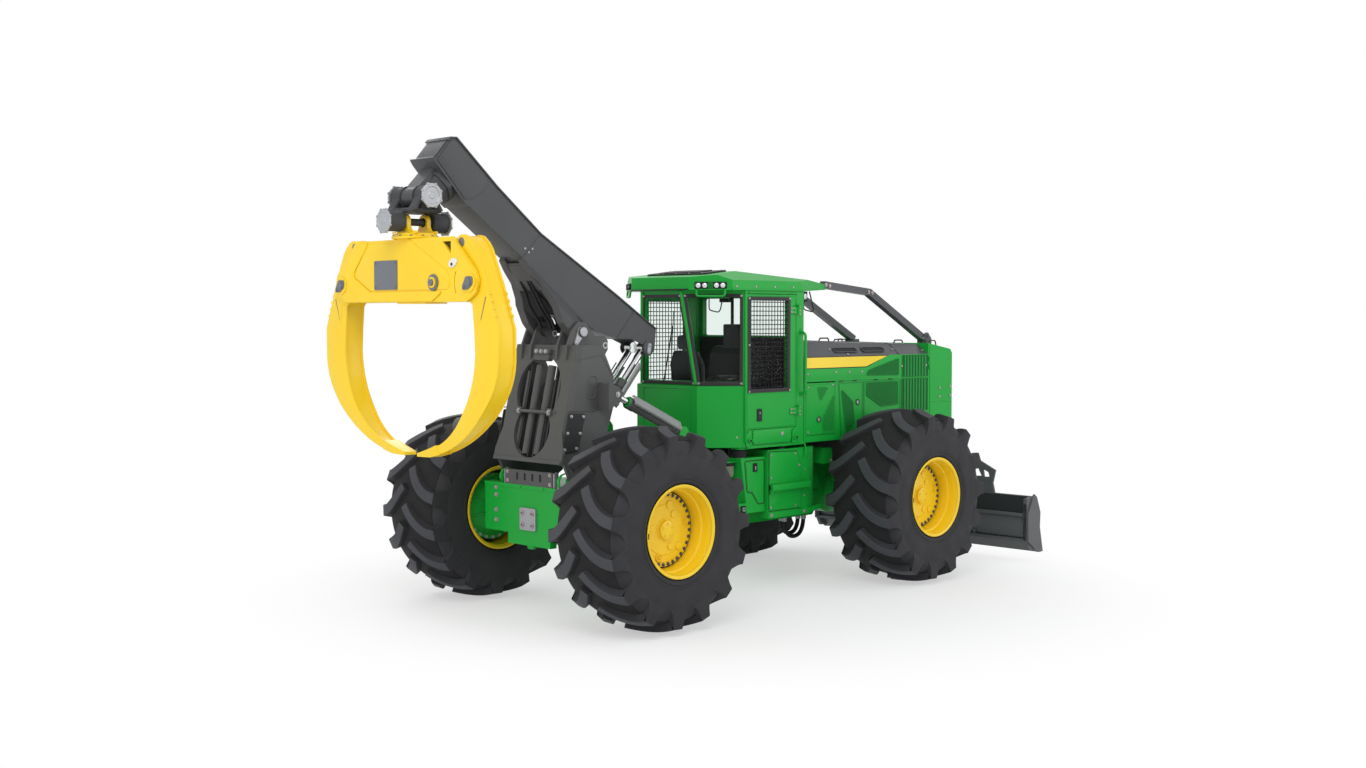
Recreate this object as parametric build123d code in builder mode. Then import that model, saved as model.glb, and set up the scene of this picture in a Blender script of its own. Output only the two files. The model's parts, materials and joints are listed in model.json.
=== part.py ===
"""Grapple skidder: an articulated four-wheel-drive forestry machine, in millimetres.

Frame: +X forwards (towards the dozer blade), +Y to the machine's left, +Z up.
Everything is drawn with X = 0 at the articulation pin, midway between the axles. Each finished
piece is then moved so that the origin is on the ground, at the middle of the whole machine.
"""

import math
import os

from build123d import *

os.makedirs("parts", exist_ok=True)

# ---------------------------------------------------------------- driving dimensions
wheelbase = 4000
track = 2700            # between the middle planes of a pair of wheels
tyre_radius = 974
tyre_width = 876
shoulder_drop = 70      # how much lower the tread is at its edge than in its middle
rim_radius = 444.5      # over the flanges
rim_width = 851
bead_seat_radius = 406.4
seat_gap = 0.3          # between curved faces of pieces that are bolted together
run_gap = 0.5           # round a pin
side_gap = 6            # beside a pin's boss, between pieces that swing
pin_radius = 40

axle_height = 974       # of the drawing: every finished piece is lifted to suit its tyres
front_axle_x = 2000     # each half of the machine is drawn with its axle here,
rear_axle_x = -2000     # and finished pieces are moved outwards or inwards to suit the wheelbase
half_shift = (wheelbase - front_axle_x + rear_axle_x) / 2
grapple_x = -3727       # the middle plane of the grapple
crosshead_half = 351    # the crosshead's reach fore and aft of that plane
blade_front_x = 4310
middle_x = (blade_front_x + grapple_x - crosshead_half) / 2


# ---------------------------------------------------------------- shared shapes
def outline(plane, points):
    """A closed polygon on a plane."""
    with BuildSketch(plane) as profile:
        with BuildLine():
            Polyline(*points, close=True)
        make_face()
    return profile.sketch


def along_y(x, y, z):
    """Places a cylinder so that its axis runs along Y."""
    return Location((x, y, z), (90, 0, 0))


def along_x(x, y, z):
    """Places a cylinder so that its axis runs along X."""
    return Location((x, y, z), (0, 90, 0))


def block(x0, x1, y0, y1, z0, z1, mode=Mode.ADD):
    """A box between two corners."""
    with Locations(((x0 + x1) / 2, (y0 + y1) / 2, (z0 + z1) / 2)):
        Box(x1 - x0, y1 - y0, z1 - z0, mode=mode)


def band(points, width):
    """The outline of a bar of one width that follows an open polyline, with mitred corners."""
    left, right = [], []
    for i, (x, z) in enumerate(points):
        before = points[max(i - 1, 0)]
        after = points[min(i + 1, len(points) - 1)]
        ins = math.atan2(z - before[1], x - before[0]) if i else None
        out = math.atan2(after[1] - z, after[0] - x) if i < len(points) - 1 else None
        ins = out if ins is None else ins
        out = ins if out is None else out
        middle = (ins + out) / 2
        reach = width / 2 / math.cos((out - ins) / 2)
        left.append((x - reach * math.sin(middle), z + reach * math.cos(middle)))
        right.append((x + reach * math.sin(middle), z - reach * math.cos(middle)))
    return left + right[::-1]


def save(builder, label, half=0):
    """Moves a finished piece to the machine's own origin, labels it and writes it.

    half is 1 for a piece of the front half of the machine and -1 for one of the rear half.
    """
    builder.part = builder.part.moved(
        Location((half * half_shift - middle_x, 0, tyre_radius - axle_height)))
    builder.part.label = label
    export_step(builder.part, f"parts/{label}.step")


# ---------------------------------------------------------------- wheels
tyre_half = tyre_width / 2
rim_half = rim_width / 2
flange_thickness = 14
barrel_wall = 12.4
disc_outset = 184       # the disc's outer face, outwards of the wheel's middle plane
disc_thickness = 16
hub_inner = 30          # the hub's inner face, outwards of the middle plane
hub_radius = 290
hub_cap_radius = 90
hub_cap_reach = 46
bead_half = rim_half - flange_thickness - seat_gap
bead_radius = bead_seat_radius + seat_gap
shoulder_radius = tyre_radius - shoulder_drop
barrel_bore = bead_seat_radius - barrel_wall

for end, half, wheel_x in (("front", 1, front_axle_x), ("rear", -1, rear_axle_x)):
    for side, s in (("right", -1), ("left", 1)):
        hub = (wheel_x, s * track / 2, axle_height)
        section = Plane(origin=hub, x_dir=(0, s, 0), z_dir=(s, 0, 0))
        spin = Axis(hub, (0, 1, 0))

        with BuildPart() as tyre:
            with BuildSketch(section):
                with BuildLine():
                    Polyline(
                        (-tyre_half, shoulder_radius),
                        (-tyre_half, 640),
                        (-tyre_half + 10, 500),
                        (-bead_half, rim_radius + 8),
                        (-bead_half, bead_radius),
                        (bead_half, bead_radius),
                        (bead_half, rim_radius + 8),
                        (tyre_half - 10, 500),
                        (tyre_half, 640),
                        (tyre_half, shoulder_radius),
                    )
                    ThreePointArc(
                        (tyre_half, shoulder_radius),
                        (0, tyre_radius),
                        (-tyre_half, shoulder_radius),
                    )
                make_face()
            revolve(axis=spin)
        save(tyre, f"tyre_{end}_{side}", half)

        with BuildPart() as rim:
            add(outline(section, (
                (hub_inner, 0),
                (hub_inner, hub_radius),
                (disc_outset - disc_thickness, hub_radius),
                (disc_outset - disc_thickness, barrel_bore),
                (-rim_half, barrel_bore),
                (-rim_half, rim_radius),
                (-rim_half + flange_thickness, rim_radius),
                (-rim_half + flange_thickness, bead_seat_radius),
                (rim_half - flange_thickness, bead_seat_radius),
                (rim_half - flange_thickness, rim_radius),
                (rim_half, rim_radius),
                (rim_half, barrel_bore),
                (disc_outset, barrel_bore),
                (disc_outset, hub_cap_radius),
                (disc_outset + hub_cap_reach, hub_cap_radius),
                (disc_outset + hub_cap_reach, 0),
            )))
            revolve(axis=spin)
        save(rim, f"rim_{end}_{side}", half)

# ---------------------------------------------------------------- axles
differential_radius = 300
axle_tube_radius = 150
brake_radius = 320
carrier_radius = 220
axle_end = track / 2 + hub_inner - run_gap
pinion_radius = 130
pinion_reach = 520
axle_half = (
    (0, 0),
    (0, differential_radius),
    (230, differential_radius),
    (370, axle_tube_radius),
    (axle_end - 380, axle_tube_radius),
    (axle_end - 290, brake_radius),
    (axle_end - 60, brake_radius),
    (axle_end - 35, carrier_radius),
    (axle_end, carrier_radius),
    (axle_end, 0),
)
for end, axle_x, half in (("front", front_axle_x, 1), ("rear", rear_axle_x, -1)):
    with BuildPart() as axle:
        for s in (-1, 1):
            section = Plane(origin=(axle_x, 0, axle_height), x_dir=(0, s, 0), z_dir=(s, 0, 0))
            add(outline(section, axle_half))
        revolve(axis=Axis((axle_x, 0, axle_height), (0, 1, 0)))
        with Locations(along_x(axle_x - half * pinion_reach / 2, 0, axle_height)):
            Cylinder(pinion_radius, pinion_reach)
    save(axle, f"{end}_axle", half)

# ---------------------------------------------------------------- articulation
pivot_radius = 60
front_pin_x = -half_shift       # where the pin lies in the front half's drawing
rear_pin_x = half_shift         # and in the rear half's
rear_lugs = ((1180, 1240), (718, 778))
front_lugs = ((1110, 1174), (784, 848))
front_lug_half = 170
rear_lug_half = 130

# steering cylinders: eye centres at rest, on the right side
steer_front = (520, -330)
steer_rear = (-480, -300)
steer_z = 970
steer_barrel_radius = 52
steer_rod_radius = 30
steer_eye_radius = 48
steer_eye_half = 34
steer_shelf_radius = 50        # the shelves' round ends; the barrels start past them
steer_barrel_start = 60        # distances along the cylinder from its front eye
steer_barrel_end = 620
steer_rod_end = 345            # the rod's inner end, at rest
foot_pin_radius = 24           # pins that cylinders' feet turn on

# ---------------------------------------------------------------- rear frame
bumper_face_x = -2390
bumper_half = 705
bumper_bottom = 810
frame_top = 1298
hitch_z = 966                  # four bolt holes through the bumper
hitch_spacing_y = 150
hitch_spacing_z = 120
hitch_hole_radius = 13
rear_web_half = 400
rear_web_front = -620
axle_channel = differential_radius + 8
arch_pivot = (-2200, 1330)
arch_ears = (430, 530)         # inner faces of each side's two ears
arch_ear_thickness = 50
arch_pin_radius = 50
arch_foot = (-850, 1780)       # lower eye of an arch cylinder, at rest
arch_cylinder_y = 585
arch_eye_half = 36

with BuildPart() as rear_frame:
    block(bumper_face_x, bumper_face_x + 90, -bumper_half, bumper_half, bumper_bottom, frame_top)
    block(bumper_face_x, bumper_face_x + 90, -330, 330, bumper_bottom - 110, bumper_bottom)
    with Locations(*[along_x(bumper_face_x + 45, y, hitch_z + z)
                     for y in (-hitch_spacing_y / 2, hitch_spacing_y / 2)
                     for z in (-hitch_spacing_z / 2, hitch_spacing_z / 2)]):
        Cylinder(hitch_hole_radius, 100, mode=Mode.SUBTRACT)
    extrude(outline(Plane.XZ, (
        (bumper_face_x + 90, frame_top),
        (bumper_face_x + 90, 900),
        (rear_axle_x - 250, 900),
        (rear_axle_x + 250, 900),
        (-1500, 700),
        (rear_web_front, 700),
        (rear_web_front, frame_top),
    )), amount=rear_web_half, both=True)
    with Locations(along_y(rear_axle_x, 0, axle_height)):
        Cylinder(axle_channel, 2 * rear_web_half, mode=Mode.SUBTRACT)
    block(rear_axle_x - axle_channel, rear_axle_x + axle_channel, -rear_web_half, rear_web_half,
          600, axle_height, mode=Mode.SUBTRACT)
    with Locations(along_x(rear_axle_x + pinion_reach / 2, 0, axle_height)):
        Cylinder(pinion_radius + 10, pinion_reach + 40, mode=Mode.SUBTRACT)
    for s in (-1, 1):
        # a saddle on each axle tube
        block(rear_axle_x - 150, rear_axle_x + 150, min(s * 400, s * 580), max(s * 400, s * 580),
              1040, 1240)
        # ears for the arch
        for y in arch_ears:
            extrude(outline(Plane.XZ.offset(-s * (y + arch_ear_thickness / 2)), (
                (arch_pivot[0] - 90, frame_top),
                (arch_pivot[0] - 70, arch_pivot[1] + 60),
                (arch_pivot[0] + 70, arch_pivot[1] + 60),
                (arch_pivot[0] + 150, frame_top),
                (arch_pivot[0] + 150, frame_top - 60),
                (arch_pivot[0] - 90, frame_top - 60),
            )), amount=arch_ear_thickness / 2, both=True)
        block(arch_pivot[0] - 90, arch_pivot[0] + 150, min(s * 400, s * 580),
              max(s * 400, s * 580), frame_top - 100, frame_top - 60)
        # a post with two ears for each arch cylinder
        block(-930, -770, min(s * 380, s * 670), max(s * 380, s * 670), 1180, frame_top)
        for y in (arch_cylinder_y - arch_eye_half - 5 - 22, arch_cylinder_y + arch_eye_half + 5):
            extrude(outline(Plane.XZ.offset(-s * (y + 11)), (
                (-960, frame_top - 40),
                (-915, 1800),
                (-880, 1845),
                (-820, 1845),
                (-785, 1800),
                (-740, frame_top - 40),
            )), amount=11, both=True)
    with Locations(*[along_y(rear_axle_x, s * 490, axle_height) for s in (-1, 1)]):
        Cylinder(axle_tube_radius + seat_gap, 200, mode=Mode.SUBTRACT)
    with Locations(*[along_y(arch_pivot[0], s * 505, arch_pivot[1]) for s in (-1, 1)]):
        Cylinder(arch_pin_radius, 150)
    with Locations(*[along_y(arch_foot[0], s * arch_cylinder_y, arch_foot[1]) for s in (-1, 1)]):
        Cylinder(foot_pin_radius, 2 * (arch_eye_half + 27))
    # two lugs round the articulation pin, and the pin
    for z0, z1 in rear_lugs:
        block(rear_web_front - 20, rear_pin_x, -rear_lug_half, rear_lug_half, z0, z1)
        with Locations((rear_pin_x, 0, (z0 + z1) / 2)):
            Cylinder(rear_lug_half, z1 - z0)
    for (r0, r1), (f0, f1) in zip(rear_lugs, front_lugs):
        with Locations((rear_pin_x, 0, (min(r0, f0) + max(r1, f1)) / 2)):
            Cylinder(pivot_radius, max(r1, f1) - min(r0, f0))
    # shelves for the rod eyes of the steering cylinders
    for s in (-1, 1):
        eye_y = s * abs(steer_rear[1])
        for z in (steer_z - steer_eye_half - 24, steer_z + steer_eye_half + 4):
            extrude(outline(Plane.XY.offset(z), (
                (rear_web_front - 20, eye_y + 90),
                (steer_rear[0], eye_y + steer_shelf_radius),
                (steer_rear[0], eye_y - steer_shelf_radius),
                (rear_web_front - 20, eye_y - 90),
            )), amount=20)
            with Locations((steer_rear[0], eye_y, z + 10)):
                Cylinder(steer_shelf_radius, 20)
save(rear_frame, "rear_frame", -1)

# ---------------------------------------------------------------- lower guard under the arch
guard_half = 370
with BuildPart() as lower_guard:
    block(-2392, -2362, -guard_half, guard_half, frame_top, 1450)
    with Locations(*[along_x(-2377, y, 1385) for y in (-180, -60, 60, 180)]):
        Box(70, 30, 60, mode=Mode.SUBTRACT)
    for s in (-1, 1):
        block(-2362, -2300, min(s * 300, s * 330), max(s * 300, s * 330), frame_top, 1430)
save(lower_guard, "lower_guard", -1)

# ---------------------------------------------------------------- winch
winch_x, winch_z = -1420, 1530
drum_radius = 120
flange_radius = 210
drum_half = 190
with BuildPart() as winch_housing:
    for s in (-1, 1):
        extrude(outline(Plane.XZ.offset(-s * 225), (
            (winch_x - 230, frame_top),
            (winch_x - 200, winch_z + 150),
            (winch_x + 150, winch_z + 150),
            (winch_x + 260, frame_top),
        )), amount=20, both=True)
    block(winch_x - 230, winch_x + 260, -245, 245, frame_top, frame_top + 15)
    with Locations(*[along_y(winch_x, s * 225, winch_z) for s in (-1, 1)]):
        Cylinder(pin_radius + run_gap, 60, mode=Mode.SUBTRACT)
save(winch_housing, "winch_housing", -1)

with BuildPart() as winch_drum:
    with Locations(along_y(winch_x, 0, winch_z)):
        Cylinder(drum_radius, 2 * drum_half)
        Cylinder(pin_radius, 2 * 260)
    with Locations(*[along_y(winch_x, s * (drum_half - 10), winch_z) for s in (-1, 1)]):
        Cylinder(flange_radius, 20)
save(winch_drum, "winch_drum", -1)

# ---------------------------------------------------------------- front frame
front_web_half = 380
front_web_rear = 330
front_frame_front = 3440
hitch_plate_rear = -166
blade_pivot = (3050, 780)
blade_pin_radius = 45
blade_arm_inner = 392
blade_arm_outer = 452
lift_foot = (3560, 1260)       # upper eye of a blade cylinder, at rest
lift_y = 250
lift_eye_half = 36

with BuildPart() as front_frame:
    extrude(outline(Plane.XZ, (
        (front_web_rear, frame_top + 2),
        (front_web_rear, 700),
        (1500, 700),
        (1650, 900),
        (2350, 900),
        (2450, 700),
        (front_frame_front, 700),
        (front_frame_front, frame_top + 2),
    )), amount=front_web_half, both=True)
    with Locations(along_y(front_axle_x, 0, axle_height)):
        Cylinder(axle_channel, 2 * front_web_half, mode=Mode.SUBTRACT)
    block(front_axle_x - axle_channel, front_axle_x + axle_channel, -front_web_half,
          front_web_half, 600, axle_height, mode=Mode.SUBTRACT)
    with Locations(along_x(front_axle_x - pinion_reach / 2, 0, axle_height)):
        Cylinder(pinion_radius + 10, pinion_reach + 40, mode=Mode.SUBTRACT)
    for s in (-1, 1):
        block(front_axle_x - 150, front_axle_x + 150, min(s * 370, s * 560), max(s * 370, s * 560),
              1040, 1300)
        with Locations(along_y(front_axle_x, s * 480, axle_height)):
            Cylinder(axle_tube_radius + seat_gap, 240, mode=Mode.SUBTRACT)
        # stub pins for the blade's arms
        with Locations(along_y(blade_pivot[0], s * (front_web_half + 45), blade_pivot[1])):
            Cylinder(blade_pin_radius, 90)
        # ears for the blade cylinders
        for y in (lift_y - lift_eye_half - 5 - 22, lift_y + lift_eye_half + 5):
            extrude(outline(Plane.XZ.offset(-s * (y + 11)), (
                (front_frame_front - 10, 1100),
                (front_frame_front - 10, 1330),
                (lift_foot[0] + 10, lift_foot[1] + 60),
                (lift_foot[0] + 60, lift_foot[1] + 10),
                (lift_foot[0] + 40, lift_foot[1] - 50),
            )), amount=11, both=True)
    # a deep pocket at the back of the frame, which the steering cylinders reach into
    block(front_web_rear - 10, steer_front[0] + 140, -front_web_half - 1, front_web_half + 1,
          steer_z - 140, steer_z + 130, mode=Mode.SUBTRACT)
    for s in (-1, 1):
        eye_y = s * abs(steer_front[1])
        for z in (steer_z - steer_eye_half - 24, steer_z + steer_eye_half + 4):
            block(steer_front[0], steer_front[0] + 150, eye_y - steer_shelf_radius,
                  eye_y + steer_shelf_radius, z, z + 20)
            with Locations((steer_front[0], eye_y, z + 10)):
                Cylinder(steer_shelf_radius, 20)
    with Locations(*[along_y(lift_foot[0], s * lift_y, lift_foot[1]) for s in (-1, 1)]):
        Cylinder(foot_pin_radius, 2 * (lift_eye_half + 27))
    with Locations(*[(steer_front[0], s * steer_front[1], steer_z) for s in (-1, 1)]):
        Cylinder(foot_pin_radius, 2 * (steer_eye_half + 24))
    for z0, z1 in front_lugs:
        block(front_pin_x, front_web_rear + 20, -front_lug_half, front_lug_half, z0, z1)
        with Locations((front_pin_x, 0, (z0 + z1) / 2)):
            Cylinder(front_lug_half, z1 - z0)
    # the lower lug widens into a plate under the tanks' rear end
    extrude(outline(Plane.XY.offset(front_lugs[1][0]), (
        (front_web_rear + 20, -front_web_half),
        (hitch_plate_rear + 60, -front_web_half),
        (hitch_plate_rear, -front_web_half + 90),
        (hitch_plate_rear, front_web_half - 90),
        (hitch_plate_rear + 60, front_web_half),
        (front_web_rear + 20, front_web_half),
    )), amount=front_lugs[1][1] - front_lugs[1][0])
    for z0, z1 in front_lugs:
        with Locations((front_pin_x, 0, (z0 + z1) / 2)):
            Cylinder(pivot_radius + run_gap, z1 - z0, mode=Mode.SUBTRACT)
save(front_frame, "front_frame", 1)

# ---------------------------------------------------------------- steering cylinders
for side, s in (("right", -1), ("left", 1)):
    front = Vector(steer_front[0] + half_shift, s * abs(steer_front[1]), steer_z)
    rear = Vector(steer_rear[0] - half_shift, s * abs(steer_rear[1]), steer_z)
    way = (rear - front).normalized()
    length = (rear - front).length
    across = Plane(origin=front, z_dir=way)
    with BuildPart() as barrel:
        with Locations(Location(front)):
            Cylinder(steer_eye_radius, 2 * steer_eye_half)
            Cylinder(foot_pin_radius + run_gap, 2 * steer_eye_half, mode=Mode.SUBTRACT)
        with BuildSketch(across.offset(30)):
            Circle(steer_eye_half - 3)
        extrude(amount=40)
        with BuildSketch(across.offset(steer_barrel_start)):
            Circle(steer_barrel_radius)
        extrude(amount=steer_barrel_end - steer_barrel_start)
        with BuildSketch(across.offset(steer_barrel_start + 45)):
            Circle(steer_rod_radius + run_gap)
        extrude(amount=steer_barrel_end, mode=Mode.SUBTRACT)
    save(barrel, f"steering_barrel_{side}")
    with BuildPart() as rod:
        with Locations(Location(rear)):
            Cylinder(steer_eye_radius, 2 * steer_eye_half)
        with BuildSketch(across.offset(steer_rod_end)):
            Circle(steer_rod_radius)
        extrude(amount=length - steer_rod_end - 20)
    save(rod, f"steering_rod_{side}")

# ---------------------------------------------------------------- dozer blade
blade_half = 1690
blade_bottom = 113
blade_top = (4144, 800)
blade_guard_back = 4104        # the rear face of the guard that stands on the mouldboard
blade_guard_thickness = 26
blade_ledge_inner = 330
arm_width = blade_arm_outer - blade_arm_inner
lift_eye = (3965, 640)         # lower eye of a blade cylinder, at rest
blade_guard = ((900, 1190), (1130, 1082), (1092, 920), (1125, 780))
blade_sight_holes = (
    ((800, 1070), (880, 1090), (930, 1000), (790, 990)),
    ((950, 1085), (1030, 1050), (1045, 995), (965, 990)),
)

with BuildPart() as dozer_blade:
    # curved mouldboard
    with BuildSketch(Plane.XZ):
        with BuildLine():
            ThreePointArc(blade_top, (4062, 470), (4255, blade_bottom))
            Polyline((4255, blade_bottom), (4215, blade_bottom), (4060, 265), (4030, 300),
                     (4010, 480), (4015, 560), (4040, 575), (4070, 690),
                     (blade_guard_back, blade_top[1]), blade_top)
        make_face()
    extrude(amount=blade_half, both=True)
    # a ledge half way up the rear face, outside the cylinders, and a rib near its foot
    for s in (-1, 1):
        block(3978, 4030, *sorted((s * blade_ledge_inner, s * blade_half)), 560, 590)
    block(3990, 4060, -blade_half, blade_half, 250, 285)
    # a guard with four sight holes stands on the middle of the blade
    with BuildSketch(Plane.YZ.offset(blade_guard_back)):
        with BuildLine():
            Polyline(*[(s * y, z) for s, side in ((1, blade_guard), (-1, blade_guard[::-1]))
                       for y, z in side], close=True)
        make_face()
        for s in (-1, 1):
            for hole in blade_sight_holes:
                with BuildLine():
                    Polyline(*[(s * y, z) for y, z in hole], close=True)
                make_face(mode=Mode.SUBTRACT)
    extrude(amount=blade_guard_thickness)
    # end plates
    for s in (-1, 1):
        extrude(outline(Plane.XZ.offset(-s * (blade_half - 12)), (
            (4085, 790),
            (4120, 826),
            (4170, 790),
            (4250, 600),
            (4240, 420),
            (blade_front_x, blade_bottom),
            (4200, blade_bottom),
            (3990, 260),
            (3978, 590),
        )), amount=12, both=True)
        block(3978, 4070, min(s * (blade_half - 24), s * (blade_half - 70)),
              max(s * (blade_half - 24), s * (blade_half - 70)), 270, 780)
        # push arms
        with BuildSketch(Plane.XZ.offset(-s * (blade_arm_inner + arm_width / 2))):
            with BuildLine():
                Polyline(*band(((blade_pivot[0], blade_pivot[1]), (3500, 520), (4045, 400)), 150),
                         close=True)
            make_face()
            with Locations(blade_pivot):
                Circle(90)
        extrude(amount=arm_width / 2, both=True)
        with Locations(along_y(blade_pivot[0], s * (blade_arm_inner + arm_width / 2),
                               blade_pivot[1])):
            Cylinder(blade_pin_radius + run_gap, arm_width, mode=Mode.SUBTRACT)
    # cross tube between the arms, and ears for the cylinders' rods
    block(3760, 3860, -blade_arm_outer, blade_arm_outer, 400, 520)
    for s in (-1, 1):
        for y in (lift_y - lift_eye_half - 5 - 22, lift_y + lift_eye_half + 5):
            extrude(outline(Plane.XZ.offset(-s * (y + 11)), (
                (3850, 420),
                (lift_eye[0] - 60, lift_eye[1] + 30),
                (lift_eye[0], lift_eye[1] + 60),
                (lift_eye[0] + 60, lift_eye[1] + 30),
                (4040, 560),
                (4040, 420),
            )), amount=11, both=True)
save(dozer_blade, "dozer_blade", 1)


def cylinder_pair(name, half, foot, eye, y, bore, barrel_radius, rod_radius, eye_half,
                  eye_radius):
    """Two hydraulic cylinders side by side, in planes of constant Y: their barrels, then rods.

    bore gives where the barrels end, and the rods' inner ends at rest, along the cylinder.
    """
    barrel_end, rod_end = bore
    barrel_start = eye_radius + 20
    length = math.dist(foot, eye)
    way = ((eye[0] - foot[0]) / length, 0, (eye[1] - foot[1]) / length)
    with BuildPart() as barrels:
        for s in (-1, 1):
            with Locations(along_y(foot[0], s * y, foot[1])):
                Cylinder(eye_radius, 2 * eye_half)
            across = Plane(origin=(foot[0], s * y, foot[1]), x_dir=(0, 1, 0), z_dir=way)
            with BuildSketch(across.offset(eye_radius * 0.6)):
                Circle(eye_half - 3)
            extrude(amount=eye_radius)
            with BuildSketch(across.offset(barrel_start)):
                Circle(barrel_radius)
            extrude(amount=barrel_end - barrel_start)
            with BuildSketch(across.offset(barrel_start + 25)):
                Circle(rod_radius + run_gap)
            extrude(amount=barrel_end, mode=Mode.SUBTRACT)
            with Locations(along_y(foot[0], s * y, foot[1])):
                Cylinder(foot_pin_radius + run_gap, 2 * eye_half, mode=Mode.SUBTRACT)
    save(barrels, f"{name}_barrels", half)
    with BuildPart() as rods:
        for s in (-1, 1):
            with Locations(along_y(eye[0], s * y, eye[1])):
                Cylinder(eye_radius, 2 * eye_half)
            across = Plane(origin=(foot[0], s * y, foot[1]), x_dir=(0, 1, 0), z_dir=way)
            with BuildSketch(across.offset(rod_end)):
                Circle(rod_radius)
            extrude(amount=length - rod_end - eye_radius * 0.6)
    save(rods, f"{name}_rods", half)


cylinder_pair("blade_cylinder", 1, lift_foot, lift_eye, lift_y, (455, 328), 60, 32,
              lift_eye_half, 50)

# ---------------------------------------------------------------- arch
arch_half = 500
arch_wall = 30
arch_skin = (
    (-2420, 1540),
    (-2155, 2700),
    (-1860, 2700),
    (-1700, 2380),
    (-1700, 2100),
    (-1880, 1540),
)
arch_hollow = (
    (-2420 + 32, 1480),
    (-2155 + 22, 2660),
    (-1880, 2660),
    (-1600, 2370),
    (-1600, 2110),
    (-1860, 1480),
)
fairlead_upper = (0, 2255, 330)
fairlead_lower = (0, 1852, 270)
boom_pivot = (-2000, 2828)
boom_pin_radius = 50
boom_half = 170
inner_ear = (boom_half + 20, boom_half + 49)        # across the machine: each pair of ears
boom_leg = (inner_ear[1] + side_gap, inner_ear[1] + side_gap + 105)
outer_ear = (boom_leg[1] + side_gap, boom_leg[1] + side_gap + 26)
arch_eye = (-1780, 2210)
boom_foot = (-1790, 1640)
boom_cheek = 25                # either side of the boom cylinders' rod eyes
boom_eye_half = 42
boom_cylinder_y = boom_half - boom_cheek - 8 - boom_eye_half
arch_chamfer = (40, 60)        # across and along, at the corners of the rear plate
arch_flare = (35, 360)         # how far the rear plate's foot stands out, and its height
arch_rise = math.hypot(265, 1160)
rear_plate = Plane(origin=(*arch_skin[0][:1], 0, arch_skin[0][1]), x_dir=(0, 1, 0),
                   z_dir=(1160 / arch_rise, 0, -265 / arch_rise))

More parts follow.
